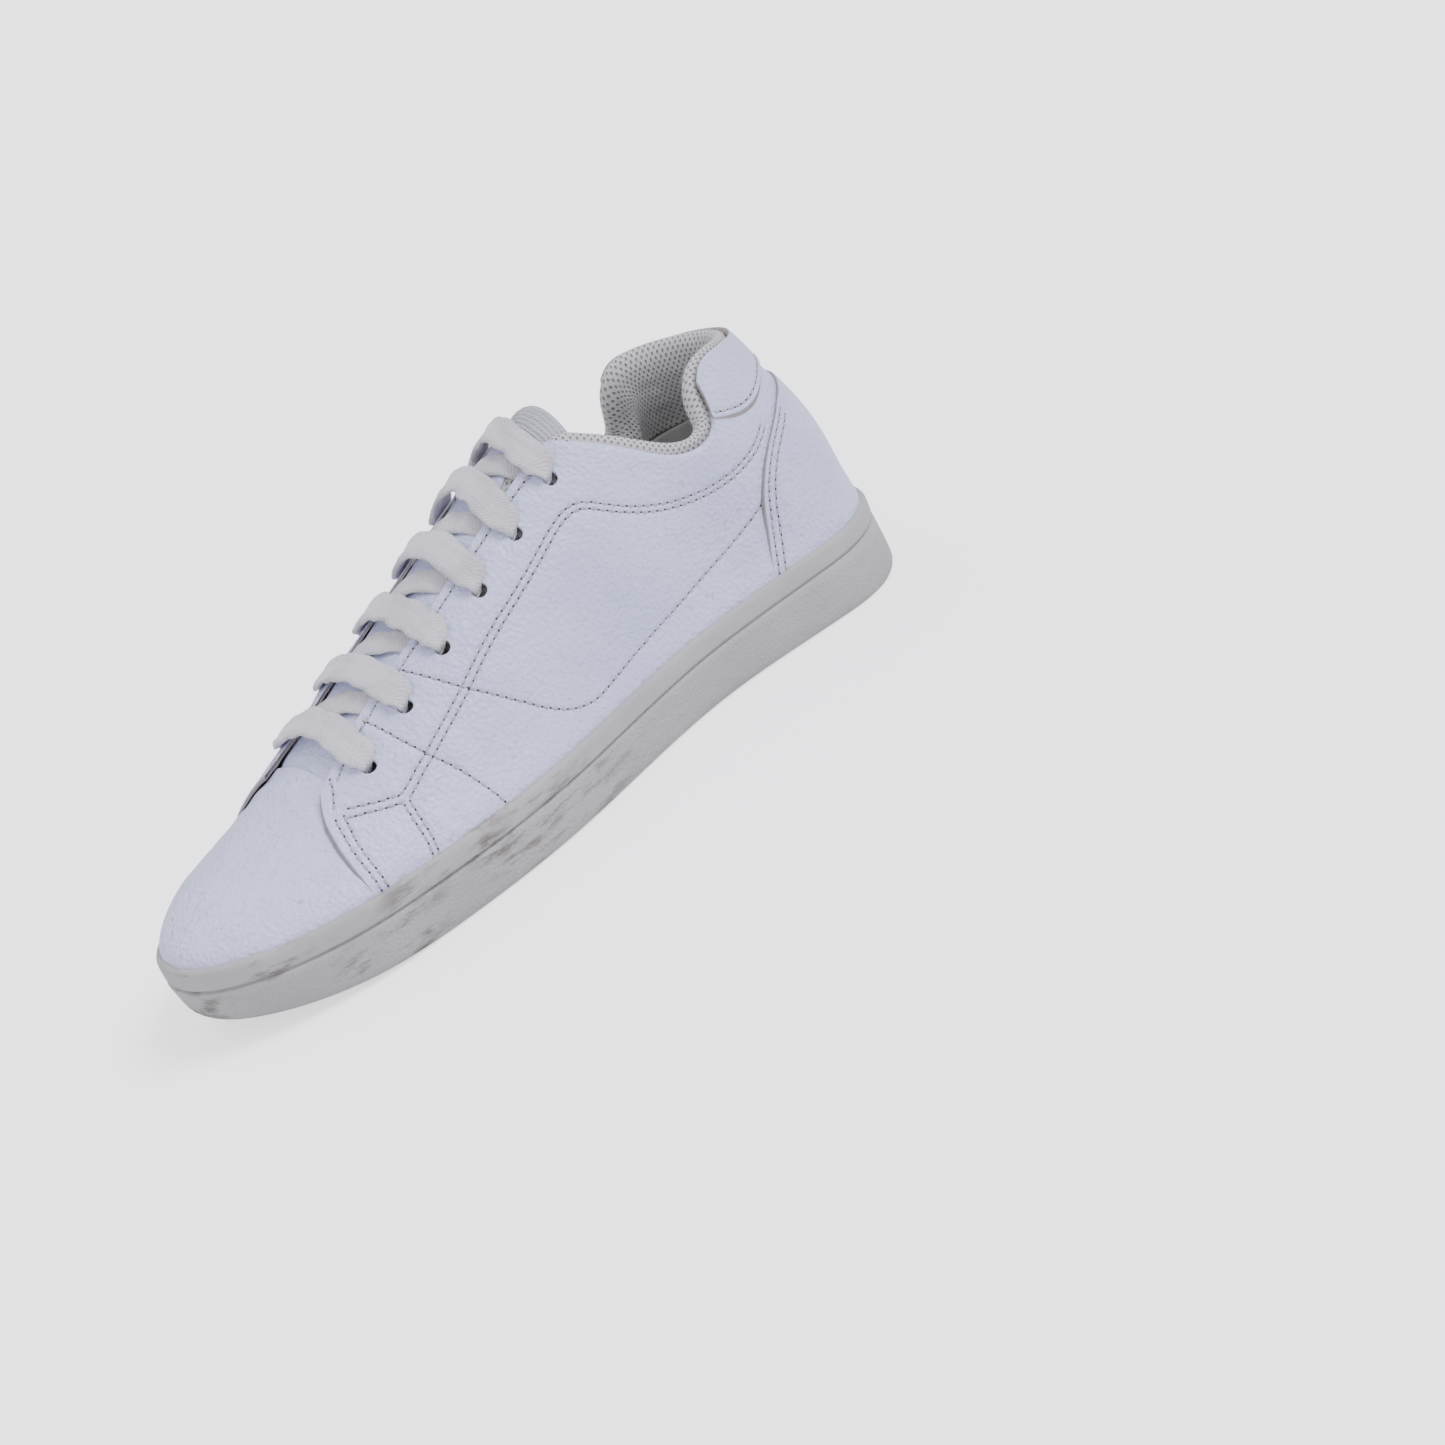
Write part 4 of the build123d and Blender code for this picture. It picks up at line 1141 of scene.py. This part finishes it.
verts, faces, uvs, total = [], [], [], 0
for number, (t, v, g, wide, thick) in enumerate(lace_runs()):
    path = place(t, v, g)
    ahead = place(t + 0.5, v, 0.0) - place(t - 0.5, v, 0.0)
    more, quads, cloth = ribbon_tube(path, ahead, wide, thick, 70 + number)
    verts.append(more)
    faces += [[i + total for i in face] for face in quads]
    uvs.append(cloth)
    total += len(more)
laces = new_object("lace_ribbon", np.concatenate(verts), faces, [cotton], uv=np.concatenate(uvs))
stand_for(laces, "shoe", "lace", "lace")

# ---- stitches


STITCH_PITCH, STITCH_LENGTH = 2.9, 1.9
THREAD_RADIUS, HOLE_LENGTH, HOLE_WIDTH = 0.36, 1.05, 0.72
RINGS, SIDES = 7, 8  # of the capsule of thread


def stitches(name, lines, piece):
    """One bowed capsule of thread per stitch, laid on the leather, and after each a flat near-black disc as
    painted shade for a needle hole.
    """
    corners = [v.co * 1000 for v in piece.data.vertices]
    ground = BVHTree.FromPolygons(corners, [tuple(p.vertices) for p in piece.data.polygons])
    verts, faces, slots, total = [], [], [], 0
    around = np.linspace(0, 2 * pi, SIDES, endpoint=False)
    fat = THREAD_RADIUS * np.array([0.55, 0.9, 1, 1, 1, 0.9, 0.55])
    bow = 0.24 - 0.50 * np.abs(np.linspace(-1, 1, RINGS)) ** 3
    steps = np.append(np.linspace(0, STITCH_LENGTH, RINGS), (STITCH_LENGTH + STITCH_PITCH) / 2)
    for line in lines:
        reach = travelled(line)
        for start in np.arange(0.5, reach[-1] - STITCH_LENGTH, STITCH_PITCH):
            core = settle(picked(line, reach, start + steps))
            found = [ground.find_nearest(p) for p in core.tolist()]
            core = np.array([f[0] for f in found])
            out = np.array([f[1] for f in found]).mean(0)
            out /= np.linalg.norm(out)
            centre = np.array([RIDGE_CENTRE, min(core[0, 1], 85.0), 30.0])
            out *= 1.0 if out @ (core[3] - centre) > 0 else -1.0
            way = core[6] - core[0]
            way /= max(np.linalg.norm(way), 1e-6)
            aside = np.cross(way, out)
            aside /= np.linalg.norm(aside)
            ring = (core[:RINGS, None] + out * (bow[:, None, None] + rng.uniform(-0.03, 0.03))
                    + aside * (np.cos(around) * fat[:, None])[..., None]
                    + out * (np.sin(around) * fat[:, None] * 0.8)[..., None])
            # a flat near-black disc on the leather: painted shade where a needle hole is
            disc = (core[RINGS] + out * 0.05 + way * (np.cos(around) * HOLE_LENGTH / 2)[:, None]
                    + aside * (np.sin(around) * HOLE_WIDTH / 2)[:, None])
            verts += [ring.reshape(-1, 3), disc, (core[RINGS] + out * 0.09)[None]]
            rim = total + RINGS * SIDES
            quads = grid_faces(RINGS, SIDES, start=total, wrap=True).tolist()
            quads += [list(range(total, total + SIDES)), list(range(rim - SIDES, rim))[::-1]]
            dots = [[rim + k, rim + (k + 1) % SIDES, rim + SIDES] for k in range(SIDES)]
            faces += quads + dots
            slots += [0] * len(quads) + [1] * len(dots)
            total = rim + SIDES + 1
    stand_for(new_object(name, np.concatenate(verts), faces, [thread, needle_hole_shade], slots), "shoe", "leather")


stitches("stitching_medial", quarter_rows[1], quarters[1])
stitches("stitching_lateral", quarter_rows[-1], quarters[-1])
stitches("stitching_counter", counter_rows, counter)
stitches("stitching_tab", tab_rows, tab)

# ---- stage, light and camera

FLOOR = 30000.0  # half the side of the floor

paper = bpy.data.materials.new("paper")
paper.use_nodes = True
paper_shader = paper.node_tree.nodes["Principled BSDF"]
paper_shader.inputs["Base Color"].default_value = (0.86, 0.86, 0.87, 1)
paper_shader.inputs["Roughness"].default_value = 0.9
paper_shader.inputs["Emission Color"].default_value = (1.0, 1.0, 1.0, 1)
# the floor glows a little, only for the camera, so that it looks as pale as the photograph's background
seen = paper.node_tree.nodes.new("ShaderNodeLightPath")
glow = paper.node_tree.nodes.new("ShaderNodeMath")
glow.operation, glow.inputs[1].default_value = "MULTIPLY", 1.3
paper.node_tree.links.new(seen.outputs["Is Camera Ray"], glow.inputs[0])
paper.node_tree.links.new(glow.outputs[0], paper_shader.inputs["Emission Strength"])
corners = [(-FLOOR, -FLOOR, 0), (FLOOR, -FLOOR, 0), (FLOOR, FLOOR, 0), (-FLOOR, FLOOR, 0)]
floor = new_object("floor", corners, [(0, 1, 2, 3)], [paper])

world = bpy.data.worlds.new("studio")
bpy.context.scene.world = world
world.use_nodes = True
tree = world.node_tree
light_path = tree.nodes.new("ShaderNodeLightPath")
strength = tree.nodes.new("ShaderNodeMapRange")
tree.links.new(light_path.outputs["Is Camera Ray"], strength.inputs["Value"])
strength.inputs["To Min"].default_value = 0.80
strength.inputs["To Max"].default_value = 2.4
tree.links.new(strength.outputs["Result"], tree.nodes["Background"].inputs["Strength"])
tree.nodes["Background"].inputs["Color"].default_value = (0.91, 0.915, 1.0, 1)


def soft_sun(name, direction, power, angle):
    """Wide, even light that comes from a direction."""
    data = bpy.data.lights.new(name, "SUN")
    data.energy, data.angle, data.color = power, radians(angle), (0.90, 0.905, 1.0)
    lamp = bpy.data.objects.new(name, data)
    lamp.rotation_mode = "QUATERNION"
    lamp.rotation_quaternion = Vector(direction).to_track_quat("Z", "Y")
    bpy.context.scene.collection.objects.link(lamp)
    return lamp


key = soft_sun("key", (0.45, 0.62, 1.0), 3.1, 30)
fill = soft_sun("fill", (0.8, -0.9, 0.65), 0.8, 50)
back = soft_sun("back", (-0.8, -0.3, 1.0), 0.8, 60)
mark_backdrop(floor, key, fill, back)

AZIMUTH, ELEVATION, ROLL = radians(64.58), radians(19.49), radians(-25.14)
DISTANCE = 0.735
AIM = Vector((0, 0, 0.045))
OFF_CENTRE = (0.095, -0.032)  # the shoe sits left of and above the middle of the picture

backward = Vector((sin(AZIMUTH) * cos(ELEVATION), -cos(AZIMUTH) * cos(ELEVATION), sin(ELEVATION)))
level = Vector((0, 0, 1)).cross(backward).normalized()
upright = backward.cross(level)
right = level * cos(ROLL) + upright * sin(ROLL)
up = upright * cos(ROLL) - level * sin(ROLL)
behind = (backward - right * OFF_CENTRE[0] - up * OFF_CENTRE[1]).normalized()
right = up.cross(behind).normalized()
up = behind.cross(right)
camera_data = bpy.data.cameras.new("camera")
camera_data.lens, camera_data.sensor_width = 59.8, 36.0
camera = bpy.data.objects.new("camera", camera_data)
turn = Matrix((right, up, behind)).transposed().to_4x4()
camera.matrix_world = Matrix.Translation(AIM + backward * DISTANCE) @ turn
bpy.context.scene.collection.objects.link(camera)
bpy.context.scene.camera = camera

for piece in built:
    face_outward(piece)

boxes = {"cad": cad_box, "visual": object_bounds()}
{name: [[float(v) for v in corner] for corner in box] for name, box in boxes.items()}
